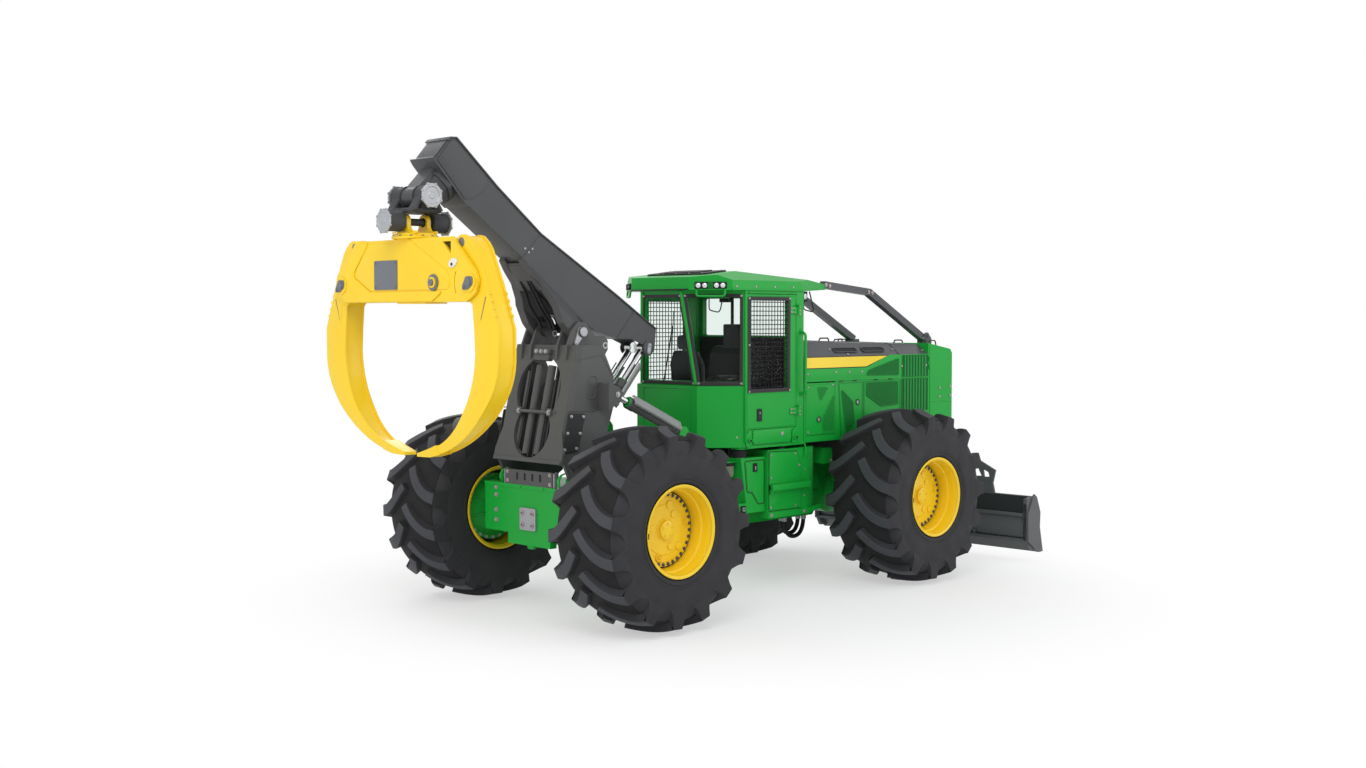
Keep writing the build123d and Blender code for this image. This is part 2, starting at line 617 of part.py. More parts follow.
with BuildPart() as arch:
    extrude(outline(Plane.XZ, arch_skin), amount=arch_half, both=True)
    extrude(outline(Plane.XZ, arch_hollow), amount=arch_half - arch_wall, both=True,
            mode=Mode.SUBTRACT)
    # the rear plate has chamfered edges above, and stands out at its foot
    for s in (-1, 1):
        with BuildSketch(Plane(origin=rear_plate.origin, x_dir=(0, 1, 0),
                               z_dir=(265 / arch_rise, 0, 1160 / arch_rise))):
            with BuildLine():
                Polyline((s * (arch_half - arch_chamfer[0]), 2), (s * (arch_half + 2), 2),
                         (s * (arch_half + 2), -arch_chamfer[1]), close=True)
            make_face()
        extrude(amount=arch_rise + 60, mode=Mode.SUBTRACT)
        extrude(outline(rear_plate, (
            (s * (arch_half - 45), 0),
            (s * (arch_half + arch_flare[0]), 0),
            (s * (arch_half + arch_flare[0] - 8), 120),
            (s * (arch_half - 45), arch_flare[1]),
        )), amount=arch_wall)
    # fairlead opening through the rear plate
    with BuildSketch(Plane.YZ.offset(-2050)) as opening:
        for y, z, r in (fairlead_upper, fairlead_lower):
            with Locations((y, z)):
                Circle(r)
    extrude(amount=-500, mode=Mode.SUBTRACT)
    # bars, tie rod and rollers across the opening
    tilt = math.degrees(math.atan2(265, 1160))
    for y in (-250, -90, 90, 250):
        radius = 42 if abs(y) == 90 else 18
        with Locations(Location((-2250, y, 2050), (0, tilt, 0))):
            Cylinder(radius, 900 if radius > 30 else 780)
    with Locations(along_y(-2300, 0, 2035)):
        Cylinder(16, 640)
    # hinge arms on each side
    for s in (-1, 1):
        extrude(outline(Plane.XZ.offset(-s * 505), (
            (-2400, 1600),
            (-2270, 1330),
            (-2240, 1275),
            (-2160, 1275),
            (-2120, 1330),
            (-1900, 1600),
        )), amount=19, both=True)
        with Locations(along_y(arch_pivot[0], s * 505, arch_pivot[1])):
            Cylinder(arch_pin_radius + run_gap, 38, mode=Mode.SUBTRACT)
        # a pair of ears for each leg of the boom; the outer one reaches forwards
        for (y0, y1), front in (
            (inner_ear, ((-1880, 2860), (-1850, 2690))),
            (outer_ear, ((-1890, 2850), (-1820, 2786), (-1700, 2786), (-1655, 2740),
                         (-1655, 2650), (-1690, 2600), (-1800, 2600), (-1870, 2670))),
        ):
            extrude(outline(Plane.XZ.offset(-s * (y0 + y1) / 2), (
                (-2140, 2660),
                (-2166, 2560),
                (-2205, 2560),
                (-2192, 2690),
                (-2120, 2860),
                (-2050, 2925),
                (-1950, 2925),
            ) + front), amount=(y1 - y0) / 2, both=True)
        # an eye for each arch cylinder
        extrude(outline(Plane.XZ.offset(-s * (arch_half + 21)), (
            (-1900, 2330),
            (-1760, 2280),
            (-1710, 2230),
            (-1740, 2150),
            (-1900, 2050),
        )), amount=22, both=True)
        extrude(outline(Plane.XZ.offset(-s * (arch_cylinder_y + arch_eye_half + 5 + 12)), (
            (-1900, 2330),
            (-1760, 2280),
            (-1710, 2230),
            (-1740, 2150),
            (-1900, 2050),
        )), amount=12, both=True)
        block(-1900, -1870, min(s * 500, s * 640), max(s * 500, s * 640), 2060, 2320)
        # ears for the boom cylinders' feet, on a cross wall
        reach = boom_eye_half + 5 + 11
        for y in (boom_cylinder_y - reach, boom_cylinder_y + reach):
            extrude(outline(Plane.XZ.offset(-s * y), (
                (-1960, 1560),
                (-1960, 1760),
                (-1830, 1700),
                (-1730, 1680),
                (-1730, 1590),
                (-1800, 1560),
            )), amount=11, both=True)
    block(-1990, -1950, -arch_half + 10, arch_half - 10, 1545, 1780)
    with Locations(along_y(boom_foot[0], 0, boom_foot[1])):
        Cylinder(foot_pin_radius, 2 * (boom_cylinder_y + boom_eye_half + 27))
    with Locations(along_y(boom_pivot[0], 0, boom_pivot[1])):
        Cylinder(boom_pin_radius + run_gap, 2 * outer_ear[1] + 2, mode=Mode.SUBTRACT)
save(arch, "arch", -1)

cylinder_pair("arch_cylinder", -1, arch_foot, arch_eye, arch_cylinder_y, (820, 110), 58, 32,
              arch_eye_half, 52)

# ---------------------------------------------------------------- boom
boom_eye = (-914, 2653)        # where the boom cylinders' rods pull
tip_pin = (-3727, 4086)
tip_eye_half = 98
boom_side = (
    (-3445, 4637),
    (-3610, 4440),
    (-3600, 4400),
    (-3285, 4055),
    (-2590, 3550),
    (-1700, 2860),
    (-1352, 2758),
    (-1153, 2756),
    (-985, 2690),
    (-945, 2570),
    (-880, 2570),
    (-820, 2640),
    (-798, 2840),
    (-1385, 3206),
    (-2368, 3784),
    (-2903, 4212),
    (-3380, 4640),
)
belly_start = (-2590, 3550)    # the belly's straight run over the legs
belly_end = (-1700, 2860)
belly_run = math.dist(belly_start, belly_end)
belly_way = ((belly_end[0] - belly_start[0]) / belly_run,
             (belly_end[1] - belly_start[1]) / belly_run)
leg_side = (
    (-2600, 3580),
    (-2600, 3530),
    (-2520, 3430),
    (-2410, 3310),
    (-2310, 3157),
    (-2200, 2915),
    (-2085, 2780),
    (-2000, 2733),
    (-1915, 2785),
    (-1700, 2850),
    (-1650, 2880),
    (-1650, 2920),
)
leg_splay = 170                # how far below the belly the legs are at full width
leg_boss_radius = 95
ear_sweep_radius = 170
cover_thickness = 20
boom_pin_overhang = 30
with BuildPart() as boom_legs:
    # seen along the belly, each leg leans outwards from the boom's side to the arch's ears
    across = Plane(origin=(belly_start[0], 0, belly_start[1]), x_dir=(0, 1, 0),
                   z_dir=(belly_way[0], 0, belly_way[1]))
    for s in (-1, 1):
        extrude(outline(across.offset(-100), (
            (s * (boom_half - 70), 30),
            (s * boom_half, 30),
            (s * boom_half, 0),
            (s * boom_leg[1], -leg_splay),
            (s * boom_leg[1], -500),
            (s * boom_leg[0], -500),
            (s * boom_leg[0], -leg_splay - 15),
            (s * (boom_half - 70), -20),
        )), amount=belly_run + 200)
    extrude(outline(Plane.XZ, leg_side), amount=boom_leg[1] + 1, both=True, mode=Mode.INTERSECT)
    # room for the inner ears as the boom moves
    with Locations(along_y(boom_pivot[0], 0, boom_pivot[1])):
        Cylinder(ear_sweep_radius, 2 * (inner_ear[1] + side_gap), mode=Mode.SUBTRACT)
with BuildPart() as boom:
    extrude(outline(Plane.XZ, boom_side), amount=boom_half, both=True)
    add(boom_legs.part)
    for s in (-1, 1):
        middle_y = s * (boom_leg[0] + boom_leg[1]) / 2
        with Locations(along_y(boom_pivot[0], middle_y, boom_pivot[1])):
            Cylinder(leg_boss_radius, boom_leg[1] - boom_leg[0])
            Cylinder(boom_pin_radius, outer_ear[1] - inner_ear[0] + 2 * boom_pin_overhang)
    # a cover closes the space between the legs from behind, below the belly
    extrude(outline(Plane(origin=(-2565, 0, 3500), x_dir=(0, 1, 0), z_dir=(-0.794, 0, -0.608)), (
        (-boom_half + 40, 0),
        (boom_half - 40, 0),
        (boom_leg[0] - 20, 330),
        (-boom_leg[0] + 20, 330),
    )), amount=-cover_thickness)
    # a fork for the cylinders at the front end
    block(-1300, -760, -boom_cylinder_y - boom_eye_half - 8, boom_cylinder_y + boom_eye_half + 8,
          2400, 2760, mode=Mode.SUBTRACT)
    # neck and eye at the tip
    extrude(outline(Plane.XZ, (
        (-3560, 4380),
        (-3350, 4130),
        (-3500, 4050),
        (tip_pin[0] + 20, tip_pin[1] - 90),
        (tip_pin[0] - 90, tip_pin[1] + 20),
    )), amount=tip_eye_half, both=True)
    with Locations(along_y(tip_pin[0], 0, tip_pin[1])):
        Cylinder(90, 2 * tip_eye_half)
        Cylinder(pin_radius + run_gap, 2 * tip_eye_half, mode=Mode.SUBTRACT)
save(boom, "boom", -1)

cylinder_pair("boom_cylinder", -1, boom_foot, boom_eye, boom_cylinder_y, (884, 466), 62, 38,
              boom_eye_half, 58)

# ---------------------------------------------------------------- crosshead
swing_pin = (0, 3851)          # y, z of the pin that runs along X
cap_radius = 100
cap_thickness = 18
boss_radius = 85
with BuildPart() as crosshead:
    for s in (-1, 1):
        with Locations(along_y(tip_pin[0], s * 190, tip_pin[1])):
            Cylinder(boss_radius, 150)
        with Locations(along_y(tip_pin[0], s * 271, tip_pin[1])):
            Cylinder(cap_radius, cap_thickness)
        block(tip_pin[0] - 75, tip_pin[0] + 75, min(s * 115, s * 200), max(s * 115, s * 200),
              3940, tip_pin[1])
        with Locations(along_x(grapple_x + s * 250, *swing_pin)):
            Cylinder(boss_radius, 190)
        with Locations(along_x(grapple_x + s * (crosshead_half - cap_thickness / 2), *swing_pin)):
            Cylinder(cap_radius, cap_thickness)
        block(grapple_x + min(s * 160, s * 340), grapple_x + max(s * 160, s * 340), -80, 80,
              swing_pin[1], 3970)
    block(grapple_x - 200, grapple_x + 200, -200, 200, 3932, 3975)
    with Locations(along_y(tip_pin[0], 0, tip_pin[1])):
        Cylinder(pin_radius, 400)
    with Locations(along_x(grapple_x, *swing_pin)):
        Cylinder(pin_radius, 400)
save(crosshead, "crosshead", -1)

# ---------------------------------------------------------------- grapple hanger
hanger_base = (3700, 3745)
head_top = 3690
with BuildPart() as grapple_hanger:
    for s in (-1, 1):
        with BuildSketch(Plane.YZ.offset(grapple_x + s * 110)):
            with BuildLine():
                Polyline((-150, hanger_base[0] + 20), (150, hanger_base[0] + 20),
                         (60, swing_pin[1] + 20), (-60, swing_pin[1] + 20), close=True)
            make_face()
            with Locations(swing_pin):
                Circle(68)
        extrude(amount=22, both=True)
        with Locations(along_x(grapple_x + s * 110, *swing_pin)):
            Cylinder(pin_radius + run_gap, 60, mode=Mode.SUBTRACT)
    with Locations((grapple_x, 0, sum(hanger_base) / 2)):
        Cylinder(190, hanger_base[1] - hanger_base[0])
    with Locations((grapple_x, 0, hanger_base[0] - 50)):
        Cylinder(100, 110)
save(grapple_hanger, "grapple_hanger", -1)

# ---------------------------------------------------------------- grapple head
tong_pivot = (1008, 3280)
tong_pin_radius = 45
tong_top = (852, 3635)
tong_half_thickness = 100
head_plate = 30
ram_base = (486, 3285)
ram_offset = 50                # each ram beside the middle plane
ram_eye_half = 20
ram_pin_radius = 28
ram_eye_radius = 45
ram_barrel_radius = 42
ram_rod_radius = 25
head_bottom = 3110

with BuildPart() as grapple_head:
    for s in (-1, 1):
        with BuildSketch(Plane.YZ.offset(grapple_x + s * (tong_half_thickness + side_gap))):
            with BuildLine():
                Polyline((-960, head_bottom), (960, head_bottom), (1090, 3180), (1130, 3290),
                         (1090, 3380), (720, head_top), (-720, head_top), (-1090, 3380),
                         (-1130, 3290), (-1090, 3180), close=True)
            make_face()
        extrude(amount=s * head_plate)
    inner = tong_half_thickness + side_gap
    block(grapple_x - inner, grapple_x + inner, -560, 560, head_top - 30, head_top)
    block(grapple_x - inner, grapple_x + inner, -780, 780, head_bottom, head_bottom + 30)
    with Locations((grapple_x, 0, head_top)):
        Cylinder(100 + run_gap, 200, mode=Mode.SUBTRACT)
    for s in (-1, 1):
        with Locations(along_x(grapple_x, s * tong_pivot[0], tong_pivot[1])):
            Cylinder(tong_pin_radius, 2 * (inner + head_plate) + 20)
        # base pins of the two rams, from one plate each
        reach = inner + 10 - ram_eye_half - ram_offset + 2 * ram_eye_half
        with Locations(along_x(grapple_x - s * (inner - reach / 2), -s * ram_base[0], ram_base[1])):
            Cylinder(ram_pin_radius, reach)
save(grapple_head, "grapple_head", -1)

# ---------------------------------------------------------------- tongs
tip_half_thickness = 60
for side, s in (("right", -1), ("left", 1)):
    with BuildPart() as tong:
        with BuildSketch(Plane.YZ.offset(grapple_x)):
            with BuildLine():
                Polyline((302, 1765), (104, 1712), (110, 1690), (302, 1700))
                ThreePointArc((302, 1700), (877, 1915), (1250, 2268))
                ThreePointArc((1250, 2268), (1340, 2450), (1365, 2650))
                Polyline((1365, 2650), (1365, 2870), (1200, 3270), (1050, 3580), (935, 3690),
                         (852, 3705), (785, 3665), (790, 3560), (880, 3330), (870, 3200),
                         (1000, 3080), (1036, 2650))
                ThreePointArc((1036, 2650), (800, 2060), (302, 1765))
            make_face()
            if s < 0:
                mirror(about=Plane.YZ, mode=Mode.REPLACE)
        extrude(amount=tong_half_thickness, both=True)
        # the ends taper to a narrower tip
        for front in (-1, 1):
            extrude(outline(Plane.XZ, (
                (grapple_x + front * tip_half_thickness, 1600),
                (grapple_x + front * tip_half_thickness, 1720),
                (grapple_x + front * (tong_half_thickness + 1), 2100),
                (grapple_x + front * (tong_half_thickness + 40), 2100),
                (grapple_x + front * (tong_half_thickness + 40), 1600),
            )), amount=1000, both=True, mode=Mode.SUBTRACT)
        # slot for the ram's rod eye
        slot_x = grapple_x - s * ram_offset
        block(slot_x - ram_eye_half - 6, slot_x + ram_eye_half + 6, -1100, 1100, 3540, 3800,
              mode=Mode.SUBTRACT)
        with Locations(along_x(grapple_x, s * tong_pivot[0], tong_pivot[1])):
            Cylinder(tong_pin_radius + run_gap, 2 * tong_half_thickness, mode=Mode.SUBTRACT)
    save(tong, f"tong_{side}", -1)

    # the ram that works this tong starts at the other side of the head
    base = Vector(grapple_x - s * ram_offset, -s * ram_base[0], ram_base[1])
    eye = Vector(grapple_x - s * ram_offset, s * tong_top[0], tong_top[1])
    across = Plane(origin=base, x_dir=(1, 0, 0), z_dir=(eye - base).normalized())
    length = (eye - base).length
    ram_barrel_length = 0.62 * length
    with BuildPart() as ram_barrel:
        with Locations(along_x(base.X, base.Y, base.Z)):
            Cylinder(ram_eye_radius, 2 * ram_eye_half)
        with BuildSketch(across.offset(30)):
            Circle(ram_eye_half + 4)
        extrude(amount=40)
        with BuildSketch(across.offset(60)):
            Circle(ram_barrel_radius)
        extrude(amount=ram_barrel_length - 60)
        with BuildSketch(across.offset(100)):
            Circle(ram_rod_radius + run_gap)
        extrude(amount=ram_barrel_length, mode=Mode.SUBTRACT)
        with Locations(along_x(base.X, base.Y, base.Z)):
            Cylinder(ram_pin_radius + run_gap, 2 * ram_eye_half, mode=Mode.SUBTRACT)
    save(ram_barrel, f"tong_ram_barrel_{side}", -1)
    with BuildPart() as ram_rod:
        with Locations(along_x(eye.X, eye.Y, eye.Z)):
            Cylinder(ram_eye_radius, 2 * ram_eye_half)
        with BuildSketch(across.offset(ram_barrel_length - 380)):
            Circle(ram_rod_radius)
        extrude(amount=length - ram_barrel_length + 380 - 20)
    save(ram_rod, f"tong_ram_rod_{side}", -1)

# ---------------------------------------------------------------- cab
cab_wall = 55
cab_floor_z = 1590
sill_z = 2245
cab_top_z = 3260
cab_half = 800
cab_front_x = 850
post_x = -90                   # where the doors meet the slanted rear panels
rear_sill = (-444, 410)        # x, half width of the rear window's wall at the sill
rear_head = (-550, 293)        # the same at the roof
rear_lower = (-478, 462)       # the same below the sill, where the wall stands proud
door_rear_x = -80
door_front_x = 735
door_bottom = 1775
door_top = 3225
door_gap = 5
hinge_x = 742                  # the doors' hinge pins
hinge_y = cab_half + 20
hinge_heights = (1950, 3050)
hinge_pin_radius = 9
knuckle_radius = 16
knuckle_half = 40
lug_thickness = 20


def cab_plan(rear, inset=0):
    """The cab's outline from above, moved inwards by a wall."""
    x, half = rear
    run = math.hypot(x - post_x, cab_half - half)
    along = ((x - post_x) / run, (half - cab_half) / run)
    # the slanted wall's offset line meets the rear and side offsets
    nx, ny = -along[1], along[0]
    px, py = post_x + nx * inset, cab_half + ny * inset
    t_side = (cab_half - inset - py) / along[1]
    t_rear = (x + inset - px) / along[0]
    left = [
        (x + inset, py + t_rear * along[1]),
        (px + t_side * along[0], cab_half - inset),
        (cab_front_x - inset, cab_half - inset),
    ]
    return left + [(u, -v) for u, v in left[::-1]]


def quarter_plane(s, inset):
    """The plane of a slanted rear panel: local x runs rearwards from the door post, y is up."""
    run = math.hypot(rear_sill[0] - post_x, rear_sill[1] - cab_half)
    along = ((rear_sill[0] - post_x) / run, s * (rear_sill[1] - cab_half) / run)
    return Plane(origin=(post_x, s * cab_half, 0), x_dir=(*along, 0),
                 z_dir=(along[1], -along[0], 0)).offset(s * inset)


rear_rise = math.hypot(rear_head[0] - rear_sill[0], cab_top_z - sill_z)
rear_lean = ((rear_head[0] - rear_sill[0]) / rear_rise, (cab_top_z - sill_z) / rear_rise)
rear_glass_plane = Plane(origin=(rear_sill[0], 0, sill_z), x_dir=(0, -1, 0),
                         z_dir=(-rear_lean[1], 0, rear_lean[0]))
rear_window = ((-365, 45), (365, 45), (262, rear_rise - 75), (-262, rear_rise - 75))
quarter_window = ((60, sill_z + 45), (482, sill_z + 45), (622, cab_top_z - 75),
                  (60, cab_top_z - 75))
screen_half = cab_half - 100
windscreen = ((-screen_half, 2770), (screen_half, 2770), (screen_half, 3190),
              (-screen_half, 3190))
screen_plane = Plane(origin=(cab_front_x, 0, 0), x_dir=(0, 1, 0), z_dir=(1, 0, 0))

with BuildPart() as cab_shell:
    extrude(outline(Plane.XY.offset(cab_floor_z), cab_plan(rear_lower)),
            amount=sill_z - cab_floor_z)
    loft([outline(Plane.XY.offset(sill_z), cab_plan(rear_sill)),
          outline(Plane.XY.offset(cab_top_z), cab_plan(rear_head))], ruled=True)
    extrude(outline(Plane.XY.offset(cab_floor_z + 40), cab_plan(rear_lower, cab_wall)),
            amount=sill_z - cab_floor_z - 40, mode=Mode.SUBTRACT)
    loft([outline(Plane.XY.offset(sill_z), cab_plan(rear_sill, cab_wall)),
          outline(Plane.XY.offset(cab_top_z), cab_plan(rear_head, cab_wall))], ruled=True,
         mode=Mode.SUBTRACT)
    for s in (-1, 1):
        block(door_rear_x, door_front_x, min(s * (cab_half - 100), s * (cab_half + 50)),
              max(s * (cab_half - 100), s * (cab_half + 50)), door_bottom, door_top,
              mode=Mode.SUBTRACT)
        extrude(outline(quarter_plane(s, 0), quarter_window), amount=120, both=True,
                mode=Mode.SUBTRACT)
        # lugs and pins for the doors' hinges
        for z in hinge_heights:
            y0, y1 = sorted((s * (cab_half - 1), s * (hinge_y + knuckle_radius)))
            block(hinge_x - 10, hinge_x + 50, y0, y1, z + knuckle_half + 1,
                  z + knuckle_half + 1 + lug_thickness)
            with Locations((hinge_x, s * hinge_y, z + lug_thickness / 2)):
                Cylinder(hinge_pin_radius, 2 * knuckle_half + lug_thickness)
    extrude(outline(rear_glass_plane, rear_window), amount=120, both=True, mode=Mode.SUBTRACT)
    extrude(outline(screen_plane, windscreen), amount=100, both=True, mode=Mode.SUBTRACT)
save(cab_shell, "cab_shell", 1)

glass_thickness = 6


def shrink(points, gap):
    """Moves a window's corners towards its middle."""
    middle = [sum(p[i] for p in points) / len(points) for i in (0, 1)]
    return [tuple(v - math.copysign(gap, v - m) for v, m in zip(p, middle)) for p in points]


with BuildPart() as cab_glass:
    for s in (-1, 1):
        extrude(outline(quarter_plane(s, 0), shrink(quarter_window, seat_gap)),
                amount=glass_thickness / 2, both=True)
    extrude(outline(rear_glass_plane.offset(-25), shrink(rear_window, seat_gap)),
            amount=glass_thickness / 2, both=True)
    extrude(outline(screen_plane.offset(-25), shrink(windscreen, seat_gap)),
            amount=glass_thickness / 2, both=True)
save(cab_glass, "cab_glass", 1)

roof_half = cab_half + 10
roof_plan = ((-580, 440), (-300, roof_half), (800, roof_half), (1450, 600))
roof_eave = 3350
roof_peak = 3470
with BuildPart() as cab_roof:
    extrude(outline(Plane.XY.offset(cab_top_z), roof_plan + tuple((x, -y) for x, y in
                                                                 roof_plan[::-1])),
            amount=roof_peak - cab_top_z)
    for s in (-1, 1):
        extrude(outline(Plane.YZ, (
            (s * (roof_half + 90), roof_eave - 20),
            (s * roof_half, roof_eave + 15),
            (s * (roof_half - 250), roof_peak),
            (s * (roof_half - 250), roof_peak + 60),
            (s * (roof_half + 90), roof_peak + 60),
        )), amount=2000, both=True, mode=Mode.SUBTRACT)
    extrude(outline(Plane.XZ, (
        (0, roof_peak),
        (1600, 3335),
        (1600, roof_peak + 60),
        (-700, roof_peak + 60),
        (-700, 3385),
    )), amount=1000, both=True, mode=Mode.SUBTRACT)
    extrude(outline(Plane.XZ, (
        (cab_front_x + 30, cab_top_z),
        (1500, 3305),
        (1500, cab_top_z - 10),
        (cab_front_x + 30, cab_top_z - 10),
    )), amount=1000, both=True, mode=Mode.SUBTRACT)
save(cab_roof, "cab_roof", 1)

door_window = (-24, 590, 2200, 3160)
door_thickness = 50
for side, s in (("right", -1), ("left", 1)):
    with BuildPart() as cab_door:
        y0, y1 = sorted((s * cab_half, s * (cab_half - door_thickness)))
        block(door_rear_x + door_gap, door_front_x - door_gap, y0, y1,
              door_bottom + door_gap, door_top - door_gap)
        block(door_window[0], door_window[1], y0 - 1, y1 + 1, door_window[2], door_window[3],
              mode=Mode.SUBTRACT)
        for z in hinge_heights:
            block(hinge_x - 60, hinge_x, min(s * (cab_half - 2), s * (hinge_y - 4)),
                  max(s * (cab_half - 2), s * (hinge_y - 4)), z - knuckle_half, z + knuckle_half)
            with Locations((hinge_x, s * hinge_y, z)):
                Cylinder(knuckle_radius, 2 * knuckle_half)
                Cylinder(hinge_pin_radius + run_gap, 2 * knuckle_half, mode=Mode.SUBTRACT)
        block(door_front_x - door_gap, hinge_x + 50, min(s * (cab_half - 100), s * (cab_half + 3)),
              max(s * (cab_half - 100), s * (cab_half + 3)), door_bottom, door_top,
              mode=Mode.SUBTRACT)
    save(cab_door, f"cab_door_{side}", 1)

with BuildPart() as operator_seat:
    block(-60, 320, -200, 200, cab_floor_z + 40, 1980)
    block(-140, 400, -260, 260, 1980.3, 2120)
    extrude(outline(Plane.XZ, ((-140, 2120.3), (-40, 2120.3), (-130, 2820), (-230, 2800))),
            amount=240, both=True)
save(operator_seat, "operator_seat", 1)

with BuildPart() as cab_console:
    block(520, 780, -420, 420, cab_floor_z + 40, 2350)
    for s in (-1, 1):
        block(0, 420, min(s * 300, s * 390), max(s * 300, s * 390), cab_floor_z + 40, 2330)
save(cab_console, "cab_console", 1)

# ---------------------------------------------------------------- engine and hood
hood_rear_x = cab_front_x + 10
hood_front_x = 3150
side_half = 800
seam_z = 2256
rail_z = 2530
hood_wall = 25
hood_rear_z = 2725
hood_front_z = 2665
side_bottom = 1605
engine_door = (885, 1395, 1665, 2244)
door_pin_radius = 6
door_pin_reach = 14
door_pin_z = engine_door[3] - 12
door_pin_y = side_half - hood_wall / 2

with BuildPart() as engine_block:
    block(1450, 2500, -330, 330, frame_top + 2, 2150)
save(engine_block, "engine_block", 1)


def hood_section(top, inset=0):
    """The hood's cross-section: upright rails, then slopes up to a flat top."""
    w = inset
    side = ((side_half - w, seam_z), (side_half - w, rail_z - w * 0.4), (640 - w, top - 15 - w))
    return side + ((0, top - w),) + tuple((-y, z) for y, z in side[::-1])


with BuildPart() as engine_hood:
    loft([outline(Plane.YZ.offset(hood_rear_x), hood_section(hood_rear_z)),
          outline(Plane.YZ.offset(hood_front_x), hood_section(hood_front_z))], ruled=True)
    loft([outline(Plane.YZ.offset(hood_rear_x + hood_wall), hood_section(hood_rear_z, hood_wall)),
          outline(Plane.YZ.offset(hood_front_x - hood_wall),
                  hood_section(hood_front_z, hood_wall))], ruled=True, mode=Mode.SUBTRACT)
save(engine_hood, "engine_hood", 1)

with BuildPart() as engine_sides:
    for s in (-1, 1):
        y0, y1 = sorted((s * (side_half - hood_wall), s * side_half))
        block(hood_rear_x, hood_front_x, y0, y1, side_bottom, seam_z)
        block(engine_door[0] - door_gap, engine_door[1] + door_gap, y0, y1,
              engine_door[2] - door_gap, seam_z, mode=Mode.SUBTRACT)
        for x, way in ((engine_door[0], 1), (engine_door[1], -1)):
            with Locations(along_x(x + way * (door_pin_reach / 2 - door_gap), s * door_pin_y,
                                   door_pin_z)):
                Cylinder(door_pin_radius, door_pin_reach + 2)
    block(hood_rear_x, hood_rear_x + hood_wall, -side_half + hood_wall, side_half - hood_wall,
          side_bottom, seam_z)
    block(hood_rear_x, hood_front_x, -side_half, side_half, side_bottom - 15, side_bottom)
    block(1420, 2550, -380, 380, side_bottom - 20, side_bottom + 20, mode=Mode.SUBTRACT)
    for x in (1350, 2560):
        block(x, x + 60, -front_web_half, front_web_half, frame_top + 2, side_bottom - 15)
save(engine_sides, "engine_sides", 1)

for side, s in (("right", -1), ("left", 1)):
    with BuildPart() as side_door:
        y0, y1 = sorted((s * (side_half - hood_wall), s * side_half))
        block(engine_door[0], engine_door[1], y0, y1, engine_door[2], engine_door[3])
        with Locations(*[along_x(x, s * door_pin_y, door_pin_z) for x in engine_door[:2]]):
            Cylinder(door_pin_radius + run_gap, 2 * door_pin_reach, mode=Mode.SUBTRACT)
    save(side_door, f"engine_door_{side}", 1)

# ---------------------------------------------------------------- front shroud
shroud_front_x = 3640
shroud_bottom = 1345
with BuildPart() as front_shroud:
    extrude(outline(Plane.XZ, (
        (hood_front_x, shroud_bottom),
        (hood_front_x, hood_front_z),
        (3600, 2590),
        (shroud_front_x, 2540),
        (shroud_front_x, shroud_bottom + 60),
        (shroud_front_x - 60, shroud_bottom),
    )), amount=side_half, both=True)
    block(hood_front_x + 30, shroud_front_x + 10, -640, 640, shroud_bottom + 120, 2420,
          mode=Mode.SUBTRACT)
save(front_shroud, "front_shroud", 1)

with BuildPart() as front_grille:
    block(3560, 3600, -639.7, 639.7, shroud_bottom + 120.3, 2419.7)
save(front_grille, "front_grille", 1)

# ---------------------------------------------------------------- roof struts
strut_y = 560
strut_width = 80
with BuildPart() as roof_struts:
    for s in (-1, 1):
        extrude(outline(Plane.XZ.offset(-s * strut_y), band((
            (1454.5, 3345),
            (2279, 3270),
            (3390, 2700),
        ), strut_width)), amount=strut_width / 2, both=True)
        block(3330, 3450, min(s * 500, s * 620), max(s * 500, s * 620), 2655, 2700)
save(roof_struts, "roof_struts", 1)

# ---------------------------------------------------------------- tanks and steps
tank_rear_x = 267
tank_front_x = 1240
tank_curve_x = 910             # where the tank's outer face starts to turn inwards
tank_bottom = 860
tank_top = 1540
box_rear_x = -23               # the box behind the tank, whose rear edge leans back
box_top_rear_x = -120
box_bottom = 925
box_top = 1474
step_z = (1111, 1160)
step_front_x = 913
step_reach = 24
sill_bar = (804, 860)
cab_mount_rear_x = -60
cab_mount_front_x = 584
with BuildPart() as side_tanks:
    for s in (-1, 1):
        y0, y1 = s * (front_web_half + seat_gap), s * side_half
        # the tank, with a round front corner
        with BuildSketch(Plane.XY.offset(tank_bottom)):
            with BuildLine():
                Polyline((tank_curve_x, y1), (tank_rear_x, y1), (tank_rear_x, y0),
                         (tank_front_x, y0), (tank_front_x, y0 + s * 60))
                ThreePointArc((tank_front_x, y0 + s * 60),
                              (tank_front_x - 95, y1 - s * 110), (tank_curve_x, y1))
            make_face()
        extrude(amount=tank_top - tank_bottom)
        # the box behind it
        extrude(outline(Plane.XZ.offset(-s * (front_web_half + seat_gap)), (
            (tank_rear_x + 1, box_bottom),
            (box_rear_x, box_bottom),
            (box_top_rear_x, box_top),
            (tank_rear_x + 1, box_top),
        )), amount=-s * (side_half - front_web_half - 40))
        # the bar under the tank and the step on its face
        block(tank_rear_x, step_front_x, *sorted((y0, y1)), *sill_bar)
        block(tank_rear_x + 20, step_front_x, *sorted((y1 - s * 1, y1 + s * step_reach)), *step_z)
        # room for the steering cylinder at full lock
        for x1, y1 in ((tank_rear_x, 590), (steer_front[0] + 60, 515)):
            block(box_top_rear_x - 50, x1, *sorted((s * (front_web_half - 10), s * y1)),
                  steer_z - 90, steer_z + 90, mode=Mode.SUBTRACT)
save(side_tanks, "side_tanks", 1)

with BuildPart() as cab_mounts:
    for x, seat in ((cab_mount_rear_x, box_top), (cab_mount_front_x, tank_top)):
        with Locations(*[(x, s * 600, (seat + cab_floor_z) / 2) for s in (-1, 1)]):
            Cylinder(60, cab_floor_z - seat)
save(cab_mounts, "cab_mounts", 1)

